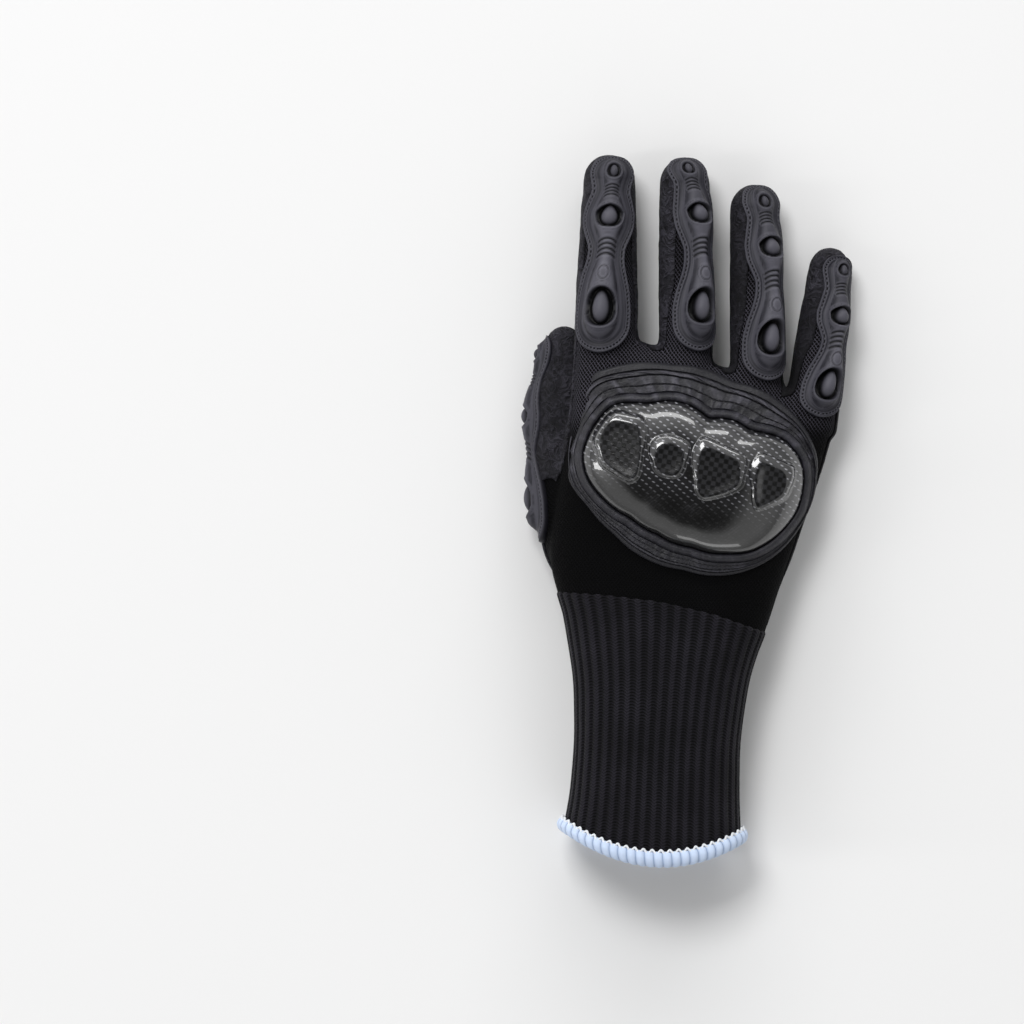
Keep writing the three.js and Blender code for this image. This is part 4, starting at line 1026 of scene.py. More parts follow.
    # painted highlight: paler on sharply bent crests and on the crowns, and none in the painted shade
    paintedHighlight = np.clip(bend * 10, 0, 0.5) * smoothStep(0.5, 1.2, height) + pale
    for label, values in (("paintedHighlight", paintedHighlight * (1 - paintedShade)), ("sunk", paintedShade)):
        values = np.concatenate([values, np.zeros((guard["rows"], 2 + under.size))], 1)
        setAttribute(ob, label, np.concatenate([values.ravel(), [0, 0]]))
    return finishPiece(ob, [node])


for digitName in fingers:
    buildGuard(digitName + "Guard", fingers[digitName], "finger_guard_" + digitName)
buildGuard("thumbGuard", thumb, "thumb_guard")
print("finger and thumb guards built")


shell = {
    "length": 77.0,
    "height": 7.2,
    "edge": 2.6,
    "x": 2.8,
    "y": 11.7,
    "flank": 0.5,            # slope of a boss's flank, its width on the side of the fingers and elsewhere
    "farFlank": 2.8,
    "nearFlank": 0.9,
    "foot": 4.0,             # slope of the steep foot below the flank
    "follow": 0.45,          # how much of the dome's slope a boss's face keeps
    "corner": 0.9,           # rounding of the faces' corners
    "dish": 0.35,
    "sides": 424,
    "rings": 124,
    "roofRings": 20,
    "weltWidth": 2.6,
    "weltHeight": 3.6,
    "surround": 1.6,         # thickness of the surround, then its lines as shares of the way outwards
    "innerLine": 0.27,
    "outerLine": 0.583,
    "groove": 0.752,
}
# outlines round the shell's middle: turn in degrees from the little finger's side, reach as a share of length
shellOutline = np.array([
    [0, 0.5], [8, 0.495], [22, 0.448], [39, 0.333], [55, 0.315], [76, 0.273], [92, 0.322], [105, 0.358],
    [122, 0.391], [138, 0.492], [155, 0.51], [169, 0.512], [180, 0.481], [194, 0.415], [212, 0.338], [237, 0.302],
    [268, 0.312], [293, 0.371], [308, 0.421], [325, 0.458], [343, 0.493],
])
surroundOutline = np.array([
    [0, 0.561], [10, 0.573], [27, 0.55], [48, 0.512], [67, 0.472], [86, 0.499], [101, 0.521], [124, 0.612],
    [136, 0.665], [152, 0.618], [167, 0.588], [180, 0.572], [195, 0.495], [215, 0.441], [241, 0.425], [263, 0.418],
    [292, 0.471], [317, 0.512], [337, 0.535], [352, 0.556],
])
# bosses: middle of the face and its lift over the dome in mm, then direction and distance of each of its sides
bosses = [
    (-25.7, 10.5, 2.1, ((-123, 7.8), (-58, 11.8), (-9, 7.4), (13, 7.5), (77, 9.2), (132, 9.4), (167, 7.9),
                        (-167, 7.0))),
    (-9.0, 6.6, 1.6, ((-124, 5.9), (-90, 6.1), (-27, 5.7), (8, 5.6), (63, 5.5), (101, 5.9), (146, 5.6),
                      (-174, 5.0))),
    (7.5, 0.9, 1.7, ((-140, 9.0), (-77, 6.9), (-54, 7.8), (2, 8.4), (66, 7.8), (141, 9.7), (177, 6.5))),
    (26.2, -2.4, 2.0, ((-156, 7.5), (-64, 5.8), (-25, 6.2), (6, 6.5), (66, 6.5), (140, 7.5), (175, 5.2))),
]
scuffs = np.array([[-1.6, 1.4], [16.7, -3.3], [19.8, -6.4], [33.4, -5.6]])   # dark rough spots beside the bosses


def outlineReach(table, angle, width=5.0):
    # distance from the shell's middle to an outline, eased between the table's directions
    turn = np.degrees(angle) % 360
    xs = np.concatenate([table[:, 0] - 360, table[:, 0], table[:, 0] + 360])
    return eased(turn, xs, np.tile(table[:, 1], 3), width) * shell["length"]


def outlineRing(table, angle, outwards=0.0):
    # points of an outline in plan, moved square to it
    def spot(t):
        # a point of the outline in the direction t
        return np.stack([np.cos(t), np.sin(t)], -1) * outlineReach(table, t)[..., None]
    along = spot(angle + 0.05) - spot(angle - 0.05)
    along /= np.linalg.norm(along, axis=-1, keepdims=True)
    outwards = np.broadcast_to(outwards, angle.shape)[..., None]
    return spot(angle) + np.stack([along[..., 1], -along[..., 0]], -1) * outwards + [shell["x"], shell["y"]]


# glossy woven fibre under clear lacquer: bright dashes in staggered rows, a dark check on the bosses' faces; on the
# lower part dimmer dashes over a twill with a painted reflection, a dark mottle
def makeFibre():
    mat, shader = newMaterial("lacqueredFibre", Roughness=0.32)
    shader.inputs["Coat Weight"].default_value = 1.0
    shader.inputs["Coat Roughness"].default_value = 0.025
    shader.inputs["Coat IOR"].default_value = 1.62
    shader.inputs["Specular IOR Level"].default_value = 0.5
    where = millimetres(mat)
    turned = addNode(mat, "ShaderNodeMapping", {"Vector": where, "Rotation": (0, 0, np.radians(9))}).outputs[0]
    parts = addNode(mat, "ShaderNodeSeparateXYZ", {0: turned}).outputs
    row = calc(mat, "DIVIDE", parts[1], 1.05)
    shift = calc(mat, "MULTIPLY", calc(mat, "FLOOR", row), 0.41)
    u = calc(mat, "ADD", calc(mat, "DIVIDE", parts[0], 3.9), shift)
    inU = calc(mat, "SUBTRACT", calc(mat, "FRACT", u), 0.5)
    inV = calc(mat, "SUBTRACT", calc(mat, "FRACT", row), 0.5)
    slanted = calc(mat, "MULTIPLY_ADD", inU, 0.9, inV)
    lengthways = calc(mat, "POWER", calc(mat, "DIVIDE", calc(mat, "ABSOLUTE", inU), 0.165), 2.0)
    crossways = calc(mat, "POWER", calc(mat, "DIVIDE", calc(mat, "ABSOLUTE", slanted), 0.27), 2.0)
    dash = calc(mat, "SUBTRACT", 1.0, calc(mat, "ADD", lengthways, crossways), clamp=True)
    dash = calc(mat, "POWER", dash, 0.6)
    along = calc(mat, "DIVIDE", calc(mat, "SUBTRACT", parts[0], parts[1]), 1.3)
    columns, rows = (calc(mat, "SINE", calc(mat, "MULTIPLY", parts[i], np.pi / 1.63)) for i in (0, 1))
    check = calc(mat, "MULTIPLY_ADD", calc(mat, "MULTIPLY", columns, rows), 2.4, 0.5, clamp=True)
    face = attribute(mat, "face")
    lower = attribute(mat, "lower")
    scuff = attribute(mat, "scuff")
    drawn = addNode(mat, "ShaderNodeMapping", {"Vector": turned, "Scale": (0.5, 6.0, 1.0)}).outputs[0]
    strands = noiseOf(mat, drawn, 1.2, 3.0)
    broad = noiseOf(mat, where, 0.09, 3.0)
    upperField = ramp(mat, calc(mat, "MULTIPLY", strands, calc(mat, "ADD", broad, 0.4)),
                      [(0.2, 0.002), (0.7, (0.016, 0.016, 0.019))])
    # painted reflection: a dark mottle in the colour of the shell's lower part
    paintedReflection = noiseOf(mat, where, 0.2, 4.0, 0.6)
    twill = calc(mat, "PINGPONG", along, 0.5)
    lowerField = ramp(mat, calc(mat, "MULTIPLY_ADD", twill, 0.3, paintedReflection),
                      [(0.45, 0.0012), (0.65, 0.004), (0.9, (0.018, 0.018, 0.020))])
    field = mixColour(mat, lower, upperField, lowerField)
    # dashes dimmer on the lower part
    dashLight = calc(mat, "MULTIPLY", dash, calc(mat, "MULTIPLY_ADD", lower, -0.9, 0.92))
    lit = mixColour(mat, dashLight, field, (0.30, 0.30, 0.33))
    specks = noiseOf(mat, where, 1.2, 4.0, 0.7)
    rough = ramp(mat, specks, [(0.4, 0.0008), (0.6, 0.003), (0.75, 0.05)])
    lit = mixColour(mat, scuff, lit, rough)
    inside = mixColour(mat, check, (0.0006, 0.0006, 0.0007), (0.017, 0.017, 0.019))
    mat.node_tree.links.new(mixColour(mat, face, lit, inside), shader.inputs["Base Color"])
    relief(mat, shader, dash, 0.3, 0.1)
    return mat


def domeHeight(dx, dy):
    # the hand's back plus a dome that falls steeply at its edge, and the share of the way to that edge
    out = np.clip(np.hypot(dx, dy) / outlineReach(shellOutline, np.arctan2(dy, dx)), 0, 1)
    z = shell["edge"] + shell["height"] * (1 - out ** 3.6) ** 0.62
    return backAt(dx + shell["x"], dy + shell["y"]) + z, out


def shellHeight(x, y):
    # the dome, and over it each boss: a nearly flat face, a flank of one slope and a set width, wider on
    # the side of the fingers, and a steep foot
    dx, dy = x - shell["x"], y - shell["y"]
    z, out = domeHeight(dx, dy)
    inBoss = np.zeros_like(z)
    for bx, by, lift, sides in bosses:
        px, py = dx - bx, dy - by
        pull = 0
        for direction, far in sides:
            turn = np.radians(direction)
            pull = pull + np.exp((px * np.cos(turn) + py * np.sin(turn) - far) / shell["corner"])
        away = shell["corner"] * np.log(pull)
        ground = domeHeight(np.array([bx, bx + 2, bx - 2, bx, bx]), np.array([by, by, by, by + 2, by - 2]))[0]
        slopeX, slopeY = (ground[1] - ground[2]) / 4, (ground[3] - ground[4]) / 4
        top = ground[0] + lift + shell["follow"] * (slopeX * px + slopeY * py)
        top = top - shell["dish"] * smoothStep(0.3, -3.0, away)
        upwards = smoothStep(-0.3, 0.7, py / (np.hypot(px, py) + 1e-6))
        width = shell["nearFlank"] + (shell["farFlank"] - shell["nearFlank"]) * upwards
        fall = shell["flank"] * 0.3 * np.logaddexp(0, away / 0.3)
        fall = fall + shell["foot"] * 0.25 * np.logaddexp(0, (away - width) / 0.25)
        cone = top - fall - 8 * smoothStep(0.9, 1.0, out) ** 2
        z = 0.15 * np.logaddexp(z / 0.15, cone / 0.15)
        inBoss = np.maximum(inBoss, smoothStep(0.15, -0.25, away))
    return z, inBoss


def buildShell():
    # rings from the middle of the outline to its edge, then down its side and under
    angle = np.arange(shell["sides"]) * 2 * np.pi / shell["sides"]
    edge = outlineRing(shellOutline, angle)
    middle = np.array([shell["x"], shell["y"]])
    out = np.linspace(0.004, 1, shell["rings"]) ** 0.8
    plan = middle + (edge - middle)[None] * out[:, None, None]
    z, inBoss = shellHeight(plan[..., 0], plan[..., 1])
    top = np.concatenate([plan, z[..., None]], -1)
    low = backAt(edge[:, 0], edge[:, 1])
    side = np.concatenate([edge, (low - 1.0)[:, None]], -1)[None]
    inwards = np.linspace(0.96, 0.01, shell["roofRings"])
    floorRing = np.concatenate([middle + (edge - middle) * inwards[0], (low - 1.0)[:, None]], -1)[None]
    roofPlan = middle + (edge - middle)[None] * inwards[:, None, None]
    roofZ = backAt(roofPlan[..., 0], roofPlan[..., 1]) + 0.3 + 0.6 * shell["height"] * (1 - inwards[:, None] ** 3)
    roof = np.concatenate([roofPlan, roofZ[..., None]], -1)
    grid = np.concatenate([top, side, floorRing, roof])
    points, faces = tubeParts(grid, flip=True)
    ob = makeMesh("knuckleShell", points, faces, makeFibre())
    if ob.data.polygons[shell["sides"] * 60].normal.z < 0:
        ob.data.flip_normals()
    face, lower = np.zeros(grid.shape[:2]), np.zeros(grid.shape[:2])
    face[:len(top)] = inBoss
    # the lower part, towards the cuff, which gets the painted reflection and dimmer dashes
    lower[:len(top)] = smoothStep(2, -12, top[..., 1] - shell["y"] + 0.25 * (top[..., 0] - shell["x"]))
    spot = grid[..., None, :2] - scuffs - [shell["x"], shell["y"]]
    ragged = np.hypot(spot[..., 0] * 1.6, spot[..., 1]) + latticeNoise(grid, 2.0, 41, 2)[..., None]
    scuff = smoothStep(3.4, 1.4, ragged).max(-1)
    scuff[len(top):] = 0
    for label, values in (("face", face), ("lower", lower), ("scuff", scuff)):
        setAttribute(ob, label, np.concatenate([values.ravel(), [0, 0]]))
    return finishPiece(ob, ["knuckle_shell"])


buildShell()
print("knuckle shell built")


# soft grained synthetic leather
def makeLeather():
    mat, shader = newMaterial("softGrain", Roughness=0.5)
    shader.inputs["Specular IOR Level"].default_value = 0.4
    where = millimetres(mat)
    pores = addNode(mat, "ShaderNodeTexVoronoi", {"Vector": where, "Scale": 1.5}).outputs[0]
    creases = noiseOf(mat, where, 0.9, 5.0, 0.6)
    fine = noiseOf(mat, where, 4.0, 3.0)
    height = calc(mat, "MULTIPLY_ADD", pores, 0.25, calc(mat, "MULTIPLY", fine, 0.2))
    height = calc(mat, "MULTIPLY_ADD", creases, 0.9, height)
    # the attribute brings painted highlight on the gathers' crests and painted shade along the stitched lines and the
    # groove
    tone = calc(mat, "MULTIPLY_ADD", attribute(mat, "paintedLightAndTone"), 0.55, calc(mat, "MULTIPLY", height, 0.42), clamp=True)
    skin = ramp(mat, tone, [(0.1, (0.003, 0.003, 0.004)), (0.5, (0.015, 0.0145, 0.020)), (1.0, (0.078, 0.075, 0.095))])
    mat.node_tree.links.new(skin, shader.inputs["Base Color"])
    mat.node_tree.links.new(ramp(mat, fine, [(0.2, 0.42), (0.8, 0.6)]), shader.inputs["Roughness"])
    relief(mat, shader, height, 0.7, 0.4)
    return mat


leatherMaterial = makeLeather()


def loopMesh(name, grid, mat):
    # a grid closed both ways, such as a ring with a thickness
    quads = gridFaces(grid.shape[0], grid.shape[1], wrapCols=True, wrapRows=True)
    ob = makeMesh(name, grid, [quads], mat)
    flat = grid.reshape(-1, 3)
    a, b, c, d = (flat[quads[:, i]] for i in range(4))
    volume = (a * np.cross(b, c)).sum() + (a * np.cross(c, d)).sum()
    if volume < 0:
        ob.data.flip_normals()
    return ob


def ringLength(plan):
    # way along a closed ring to each of its points, and its whole length
    step = np.linalg.norm(np.roll(plan, -1, 0) - plan, axis=1)
    return np.concatenate([[0], np.cumsum(step)[:-1]]), step.sum()


def puckered(plan, seed, stretch=0.3, cells=3):
    # noise in rays out of the shell's middle, -1 to 1, closing on itself all the way round
    dx, dy = plan[..., 0] - shell["x"], plan[..., 1] - shell["y"]
    size, lattice = 2.2, 32
    around = np.arctan2(dy, dx) / (2 * np.pi) * lattice * cells * size
    return latticeNoise(np.stack([around, np.hypot(dx, dy) * stretch, 0 * dx], -1), size, seed, 2)


def buildWelt():
    # a rounded lip swept round the shell, with shallow uneven gathers
    angle = np.arange(720) * 2 * np.pi / 720
    turn = np.arange(28) * 2 * np.pi / 28
    rows, gatherLight = [], []
    for a, h in zip(*roundPoint(turn, 2.4)):
        spot = outlineRing(shellOutline, angle, 1.6 + a * (shell["weltWidth"] / 2 + 0.25))
        gather = puckered(spot, 17)
        lip = shell["weltHeight"] + 0.28 * gather * max(a + 0.4, 0)
        z = backAt(spot[:, 0], spot[:, 1]) - 1 + (lip + 1) * (h + 1) / 2 - 0.5 * max(a, 0) * (h > 0)
        rows.append(np.concatenate([spot, z[:, None]], 1))
        # painted highlight: the gathers' crests paler, more so on the side towards the fingers
        gatherLight.append(0.35 + 0.8 * gather * (0.4 + 0.6 * smoothStep(-0.3, 0.5, np.sin(angle))))
    ob = loopMesh("knuckleWelt", np.stack(rows), leatherMaterial)
    setAttribute(ob, "paintedLightAndTone", np.clip(np.stack(gatherLight), 0, 1))
    return finishPiece(ob, ["knuckle_welt"])


def surroundPlan(share, angle):
    # straight between the welt and the outer outline in every direction
    inner = outlineRing(shellOutline, angle, 3.1)
    outer = outlineRing(surroundOutline, angle)
    return inner * (1 - share) + outer * share


def surroundRelief(share, angle, plan):
    # height over the hand, and painted light and shade: from the welt outwards a puckered inner band, a stitched line,
    # a wider puckered band, a seam, a raised band with slanted wrinkles, a notched groove and a smooth outer border
    wide = np.linalg.norm(surroundPlan(1.0, angle) - surroundPlan(0.0, angle), axis=-1)
    outwards = (1 - share) * wide
    rays = puckered(plan, 31)
    coarse = puckered(plan, 37, 0.5, 1)
    above = 0.35 + 0.65 * smoothStep(-0.3, 0.5, np.sin(angle))
    slanted = puckered(plan + 1.1 * np.stack([plan[..., 1] - shell["y"], shell["x"] - plan[..., 0]], -1)
                       * (share[..., None] - 0.5), 33, 0.6, 4)
    share = share + 0.16 * puckered(plan, 39, 0.2, 1) * share * (1 - share)
    h = shell["surround"] * (0.85 * np.sqrt(np.clip(1 - (1 - np.clip(outwards / 1.3, 0, 1)) ** 2, 0, 1)) + 0.1)
    inner = smoothStep(0.0, 0.05, share) * smoothStep(0.30, 0.24, share)
    middle = smoothStep(0.26, 0.32, share) * smoothStep(0.60, 0.54, share)
    band = smoothStep(0.57, 0.62, share) * smoothStep(0.745, 0.70, share)
    h = h + 0.35 * inner + 0.15 * middle + 0.75 * band + 0.3 * coarse * (inner + middle)
    h = h + above * (0.8 * rays * inner + 0.8 * rays * middle * (0.4 + np.abs(share - 0.43) * 4) + 0.6 * slanted * band)

    def line(name, width):
        # a bell curve across one of the surround's lines
        return np.exp(-((share - shell[name]) / width) ** 2)
    h = h - 0.55 * above * line("innerLine", 0.016) - 0.6 * line("outerLine", 0.014)
    h = h - (0.75 + 0.5 * rays) * above * line("groove", 0.014)
    # painted highlight on the puckers' and wrinkles' crests, stronger on the side towards the fingers, and a darker
    # outer border
    pale = 0.30 + above * (1.1 * rays * (inner + middle) + 0.9 * slanted * band + 0.25 * band) - 0.22 * (share > 0.76)
    # painted shade along the stitched lines and the groove
    pale = pale - 0.5 * above * line("innerLine", 0.02) - 0.6 * line("outerLine", 0.02)
    pale = pale - 0.7 * above * line("groove", 0.02)
    return backAt(plan[..., 0], plan[..., 1]) + h, np.clip(pale, 0, 1)


def buildSurround():
    # rings from the welt to the outer edge, then a plainer underside back to the welt
    angle = np.arange(720) * 2 * np.pi / 720
    shares = np.linspace(0, 1, 90)[:, None] + 0 * angle[None, :]
    both = np.broadcast_to(angle[None, :], shares.shape)
    plan = np.stack([surroundPlan(share[0], angle) for share in shares])
    z, pale = surroundRelief(shares, both, plan)
    top = np.concatenate([plan, z[..., None]], -1)
    lowPlan = plan[::-13]
    low = np.concatenate([lowPlan, (backAt(lowPlan[..., 0], lowPlan[..., 1]) - 1.2)[..., None]], -1)
    ob = loopMesh("stitchedSurround", np.concatenate([top, low]), leatherMaterial)
    setAttribute(ob, "paintedLightAndTone", np.concatenate([pale, 0 * low[..., 0]]))
    return finishPiece(ob, ["knuckle_surround"])


def makeThread(name, colour, rough=0.7):
    # twisted thread: its own colour on the strands, a darker one between them
    mat, shader = newMaterial(name, Roughness=rough)
    where = millimetres(mat)
    twist = noiseOf(mat, where, 4.0, 4.0)
    low = tuple(c * 0.6 for c in colour)
    mat.node_tree.links.new(ramp(mat, twist, [(0.25, low), (0.75, colour)]), shader.inputs["Base Color"])
    relief(mat, shader, twist, 0.5, 0.15)
    return mat


def stitchMesh(centres, along, outward, reach, thick, name, mat):
    # a short rounded bar for every stitch: rings along it, bowed down at its ends
    t, corners = np.linspace(-1, 1, 7), 6
    k = np.arange(corners) * 2 * np.pi / corners
    side = np.cross(outward, along)
    radius = thick * np.sqrt(np.clip(1 - t ** 2 * 0.92, 0, 1))
    spine = centres[:, None] + along[:, None] * (t * reach / 2)[None, :, None]
    spine = spine - outward[:, None] * (t ** 2 * thick * 1.2)[None, :, None]
    k = k[None, None, :, None]
    ring = side[:, None, None] * np.cos(k) + outward[:, None, None] * np.sin(k)
    grid = spine[:, :, None] + ring * radius[None, :, None, None]
    n = len(t) * corners
    body = gridFaces(len(t), corners, wrapCols=True)
    caps = np.array([[0, 1, 2, 3], [0, 3, 4, 5]])
    last = caps[:, ::-1] + (len(t) - 1) * corners
    one = np.concatenate([body[:, ::-1], caps, last])
    faces = (one[None] + (np.arange(len(centres)) * n)[:, None, None]).reshape(-1, 4)
    return makeMesh(name, grid, [faces], mat)


def stitchRow(share, pitch, reach, thick, name, mat, lift=0.15):
    # stitches along a line of the surround, equally spaced
    angle = np.arange(2000) * 2 * np.pi / 2000
    plan = surroundPlan(share, angle)
    walk, total = ringLength(plan)
    places = (np.arange(round(total / pitch)) + 0.5) * total / round(total / pitch)
    turn = np.interp(places, np.append(walk, total), np.append(angle, 2 * np.pi))
    spot = surroundPlan(share, turn)
    ahead = surroundPlan(share, turn + 0.01) - surroundPlan(share, turn - 0.01)
    z = surroundRelief(np.full(turn.shape, share), turn, spot)[0] + lift
    zAhead = backAt(*(spot + ahead).T) - backAt(*(spot - ahead).T)
    along = np.concatenate([ahead * 2, zAhead[:, None]], 1)
    along /= np.linalg.norm(along, axis=1, keepdims=True)
    up = np.array([0, 0, 1.0]) - along * along[:, 2:]
    up /= np.linalg.norm(up, axis=1, keepdims=True)
    ob = stitchMesh(np.concatenate([spot, z[:, None]], 1), along, up, reach, thick, name, mat)
    return finishPiece(ob)


blackThread = makeThread("blackThread", (0.008, 0.008, 0.010))
buildWelt()
buildSurround()
stitchRow(shell["innerLine"], 1.9, 1.15, 0.24, "innerStitches", blackThread)
stitchRow(shell["outerLine"], 1.5, 1.0, 0.22, "outerStitches", blackThread)
print("welt and surround built")


# wrapped edge of the cuff: pale blue stretch yarn
def makeYarn(name, low, high):
    mat, shader = newMaterial(name, Roughness=0.75)
    shader.inputs["Sheen Weight"].default_value = 0.25
    shader.inputs["Sheen Roughness"].default_value = 0.4
    wrap = attribute(mat, "wrap")
    where = millimetres(mat)
    strands = calc(mat, "PINGPONG", calc(mat, "MULTIPLY", wrap, 7.0), 0.5)
    fuzz = noiseOf(mat, where, 3.0, 4.0)
    height = calc(mat, "MULTIPLY_ADD", strands, 1.2, calc(mat, "MULTIPLY", fuzz, 0.5))
    fromMiddle = calc(mat, "ABSOLUTE", calc(mat, "SUBTRACT", calc(mat, "FRACT", wrap), 0.5))
    crown = calc(mat, "SUBTRACT", 1.0, calc(mat, "MULTIPLY", fromMiddle, 2.0))
    lit = calc(mat, "MULTIPLY_ADD", height, 0.35, 0.65)
    # painted shade: each wrap darker towards its edges, with thin dark lines at the seams between wraps; painted
    # highlight on the strands by their height
    tone = calc(mat, "MULTIPLY", calc(mat, "POWER", crown, 0.4), lit, clamp=True)
    palest = tuple(min(1, c * 1.12) for c in high)
    mat.node_tree.links.new(ramp(mat, tone, [(0.0, low), (0.55, high), (1.0, palest)]), shader.inputs["Base Color"])
    relief(mat, shader, height, 0.5, 0.25)
    return mat


binding = {
    "wraps": 56,
    "perWrap": 12,
    "section": np.array([  # (offset from the cuff's outer face, distance back up the cuff), round the section
        [0.15, 2.6], [0.7, 3.6], [1.7, 3.3], [2.3, 2.0], [2.4, 0.2], [1.9, -1.5], [0.7, -2.3], [-0.7, -2.4],
        [-2.0, -1.8], [-2.8, -0.4], [-2.9, 1.4], [-2.3, 3.0], [-1.75, 3.2], [-1.55, 2.2], [-1.4, 0.4], [-0.6, -0.4],
        [0.0, 0.4],
    ]),
    "bulge": 0.42,
    "around": 60,            # points round the section, and those of them in the slit that holds the cuff
    "slit": 16,
    "thread": 0.42,          # radius of the zigzag thread
    "perTurn": 18,           # points of the thread for each of its zigzags
}


def closedCurve(table, count):
    # a smooth closed curve through a short table, by blending neighbours
    n = len(table)
    t = np.arange(count) * n / count
    i = t.astype(int)
    f = (t - i)[:, None]
    p0, p1, p2, p3 = (table[(i + k) % n] for k in (-1, 0, 1, 2))
    square, cube = 2 * p0 - 5 * p1 + 4 * p2 - p3, 3 * p1 - p0 - 3 * p2 + p3
    return 0.5 * (2 * p1 + (p2 - p0) * f + square * f ** 2 + cube * f ** 3)


def cuffPoint(angle, offset, back):
    # a place on the cuff, back being the distance up from its edge
    table = palmSurface(np.array([10.0, 11.0])[:, None], np.zeros((1, 1)), 0.0)
    rowHigh = abs(table[0, 0, 1] - table[1, 0, 1])
    slide = np.where(back < 0, -back, 0.0)
    return palmSurface(11 - np.maximum(back, 0) / rowHigh, angle, offset, slide)


def buildBinding():
    # a flattened section swept along the edge, bulging between the wraps by the sine of the place along it
    cols = binding["wraps"] * binding["perWrap"]
    angle = np.arange(cols) * 2 * np.pi / cols
    ring = cuffPoint(angle, 0 * angle, 0 * angle)
    walk, total = ringLength(ring)
    section = closedCurve(binding["section"], binding["around"])
    phase = walk[None, :] / total * binding["wraps"]
    lean = (np.arange(binding["around"]) / binding["around"])[:, None] * 0.9
    wrap = phase + lean
    seam = np.abs(np.sin(np.pi * wrap)) ** 0.7
    middle = np.array([-0.3, 0.4])
    out = section - middle
    out /= np.linalg.norm(out, axis=1, keepdims=True)
    visible = np.ones(binding["around"])
    visible[-binding["slit"]:] = 0.0
    puff = binding["bulge"] * (seam - 0.6) * visible[:, None]
    offset = section[:, :1] + out[:, :1] * puff
    back = section[:, 1:] + out[:, 1:] * puff
    grid = cuffPoint(np.broadcast_to(angle[None, :], offset.shape), offset, back)
    grid[..., 2] = np.maximum(grid[..., 2], 0.0)
    ob = loopMesh("cuffBinding", grid, makeYarn("paleYarn", (0.08, 0.15, 0.32), (0.52, 0.62, 0.80)))
    setAttribute(ob, "wrap", wrap)
    return finishPiece(ob, ["cuff_binding"])


def buildZigzag():
    # one closed thread that zigzags along the binding's upper edge
    turns = binding["wraps"]
    count = turns * binding["perTurn"]
    t = np.arange(count) / count
    angleTable = np.linspace(0, 2 * np.pi, 2001)
    ring = cuffPoint(angleTable[:-1], 0 * angleTable[:-1], 0 * angleTable[:-1])
    walk, total = ringLength(ring)
    angle = np.interp(t * total, np.append(walk, total), angleTable)
    zig = 2 * np.abs((t * turns) % 1 - 0.5) * 2 - 1
    zig = np.clip(zig * 1.15, -1, 1)
    path = cuffPoint(angle, 1.35 - 0.25 * zig, 3.55 + 0.75 * zig)
    outer = cuffPoint(angle, 2.35 - 0.25 * zig, 3.55 + 0.75 * zig)
    outward = outer - path
    outward /= np.linalg.norm(outward, axis=1, keepdims=True)
    along = np.roll(path, -1, 0) - np.roll(path, 1, 0)
    along /= np.linalg.norm(along, axis=1, keepdims=True)
    side = np.cross(along, outward)
    side /= np.linalg.norm(side, axis=1, keepdims=True)
    outward = np.cross(side, along)
    k = (np.arange(8) * np.pi / 4)[None, :, None]
    grid = path[:, None] + binding["thread"] * (outward[:, None] * np.sin(k) + side[:, None] * np.cos(k))
    grid[..., 2] = np.maximum(grid[..., 2], 0.0)
    return finishPiece(loopMesh("edgeThread", grid, makeThread("whiteThread", (0.88, 0.91, 0.95))))


buildBinding()
buildZigzag()
print("binding built")


studio = {
    "height": 3.0,           # camera over the floor, m
    "seen": 0.02,            # height that the picture's width is measured at, and that the lamps aim at
    "wide": 0.357,           # width across the picture there
    "sensor": 36,            # mm
    "floorHalf": 4.0,
    "x": -0.0607,            # place of the camera in plan
    "y": -0.00055,
    "floor": (0.82, 0.82, 0.82),
    "side": 0.67,            # light of the air from the sides, then its shares at the horizon and from above
    "low": 0.45,
    "top": 0.04,
}


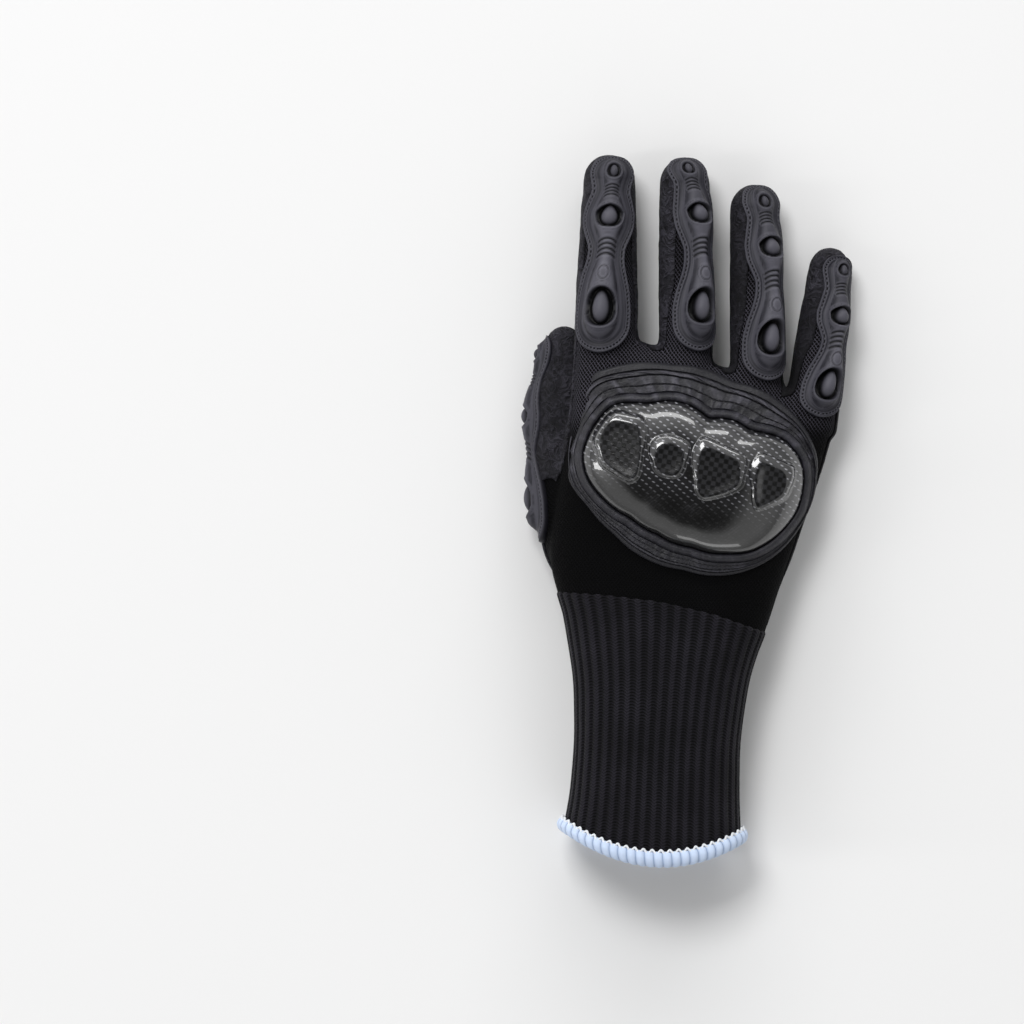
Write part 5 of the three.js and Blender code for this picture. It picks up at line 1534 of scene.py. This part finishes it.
def buildStudio():
    # plain pale floor, a softbox over the fingertips, a low bar beyond them, strips on the cuff's side and the left
    corners = np.array([[-1, -1, 0], [1, -1, 0], [1, 1, 0], [-1, 1, 0]]) * studio["floorHalf"] * 1000
    ob = makeMesh("floor", corners, [np.array([[0, 1, 2, 3]])], None)
    mat, shader = newMaterial("paleFloor", Roughness=0.9)
    where = millimetres(mat)
    tone = noiseOf(mat, where, 0.02, 2.0)
    low = tuple(c * 0.995 for c in studio["floor"])
    mat.node_tree.links.new(ramp(mat, tone, [(0.0, low), (1.0, studio["floor"])]), shader.inputs["Base Color"])
    ob.data.materials.append(mat)
    lamps = [  # name, place, size, watts
        ("keySoftbox", (-1.1, 2.2, 3.6), (1.69, 1.47), 100),
        ("farBar", (0.0, 3.8, 1.83), (5.3, 0.85), 82),
        ("lowerStrip", (0.3, -2.4, 0.9), (2.0, 0.5), 6),
        ("leftStrip", (-2.4, -0.2, 1.2), (0.25, 1.4), 10),
    ]
    for name, place, (wide, high), watts in lamps:
        light = bpy.data.lights.new(name, "AREA")
        light.shape = "RECTANGLE"
        light.size, light.size_y, light.energy = wide, high, watts
        lamp = bpy.data.objects.new(name, light)
        lamp.location = place
        lamp.rotation_euler = (Vector(place) - Vector((0, 0, studio["seen"]))).to_track_quat("Z", "Y").to_euler()
        bpy.context.scene.collection.objects.link(lamp)
    world = bpy.data.worlds.new("studioAir")
    world.use_nodes = True
    nodes, links = world.node_tree.nodes, world.node_tree.links
    where = nodes.new("ShaderNodeTexCoord")
    split = nodes.new("ShaderNodeSeparateXYZ")
    links.new(where.outputs["Generated"], split.inputs[0])
    air = ramp(world, split.outputs[2], [(0.0, studio["low"]), (0.4, 1.0), (0.76, 1.0), (0.88, studio["top"])])
    links.new(air, nodes["Background"].inputs[0])
    nodes["Background"].inputs[1].default_value = studio["side"]
    bpy.context.scene.world = world
    bpy.context.scene.view_settings.view_transform = "Standard"
    data = bpy.data.cameras.new("camera")
    data.sensor_width = studio["sensor"]
    data.lens = studio["sensor"] * (studio["height"] - studio["seen"]) / studio["wide"]
    data.clip_end = 20
    camera = bpy.data.objects.new("camera", data)
    camera.location = (studio["x"], studio["y"], studio["height"])
    bpy.context.scene.collection.objects.link(camera)
    bpy.context.scene.camera = camera


buildStudio()
print("studio built")
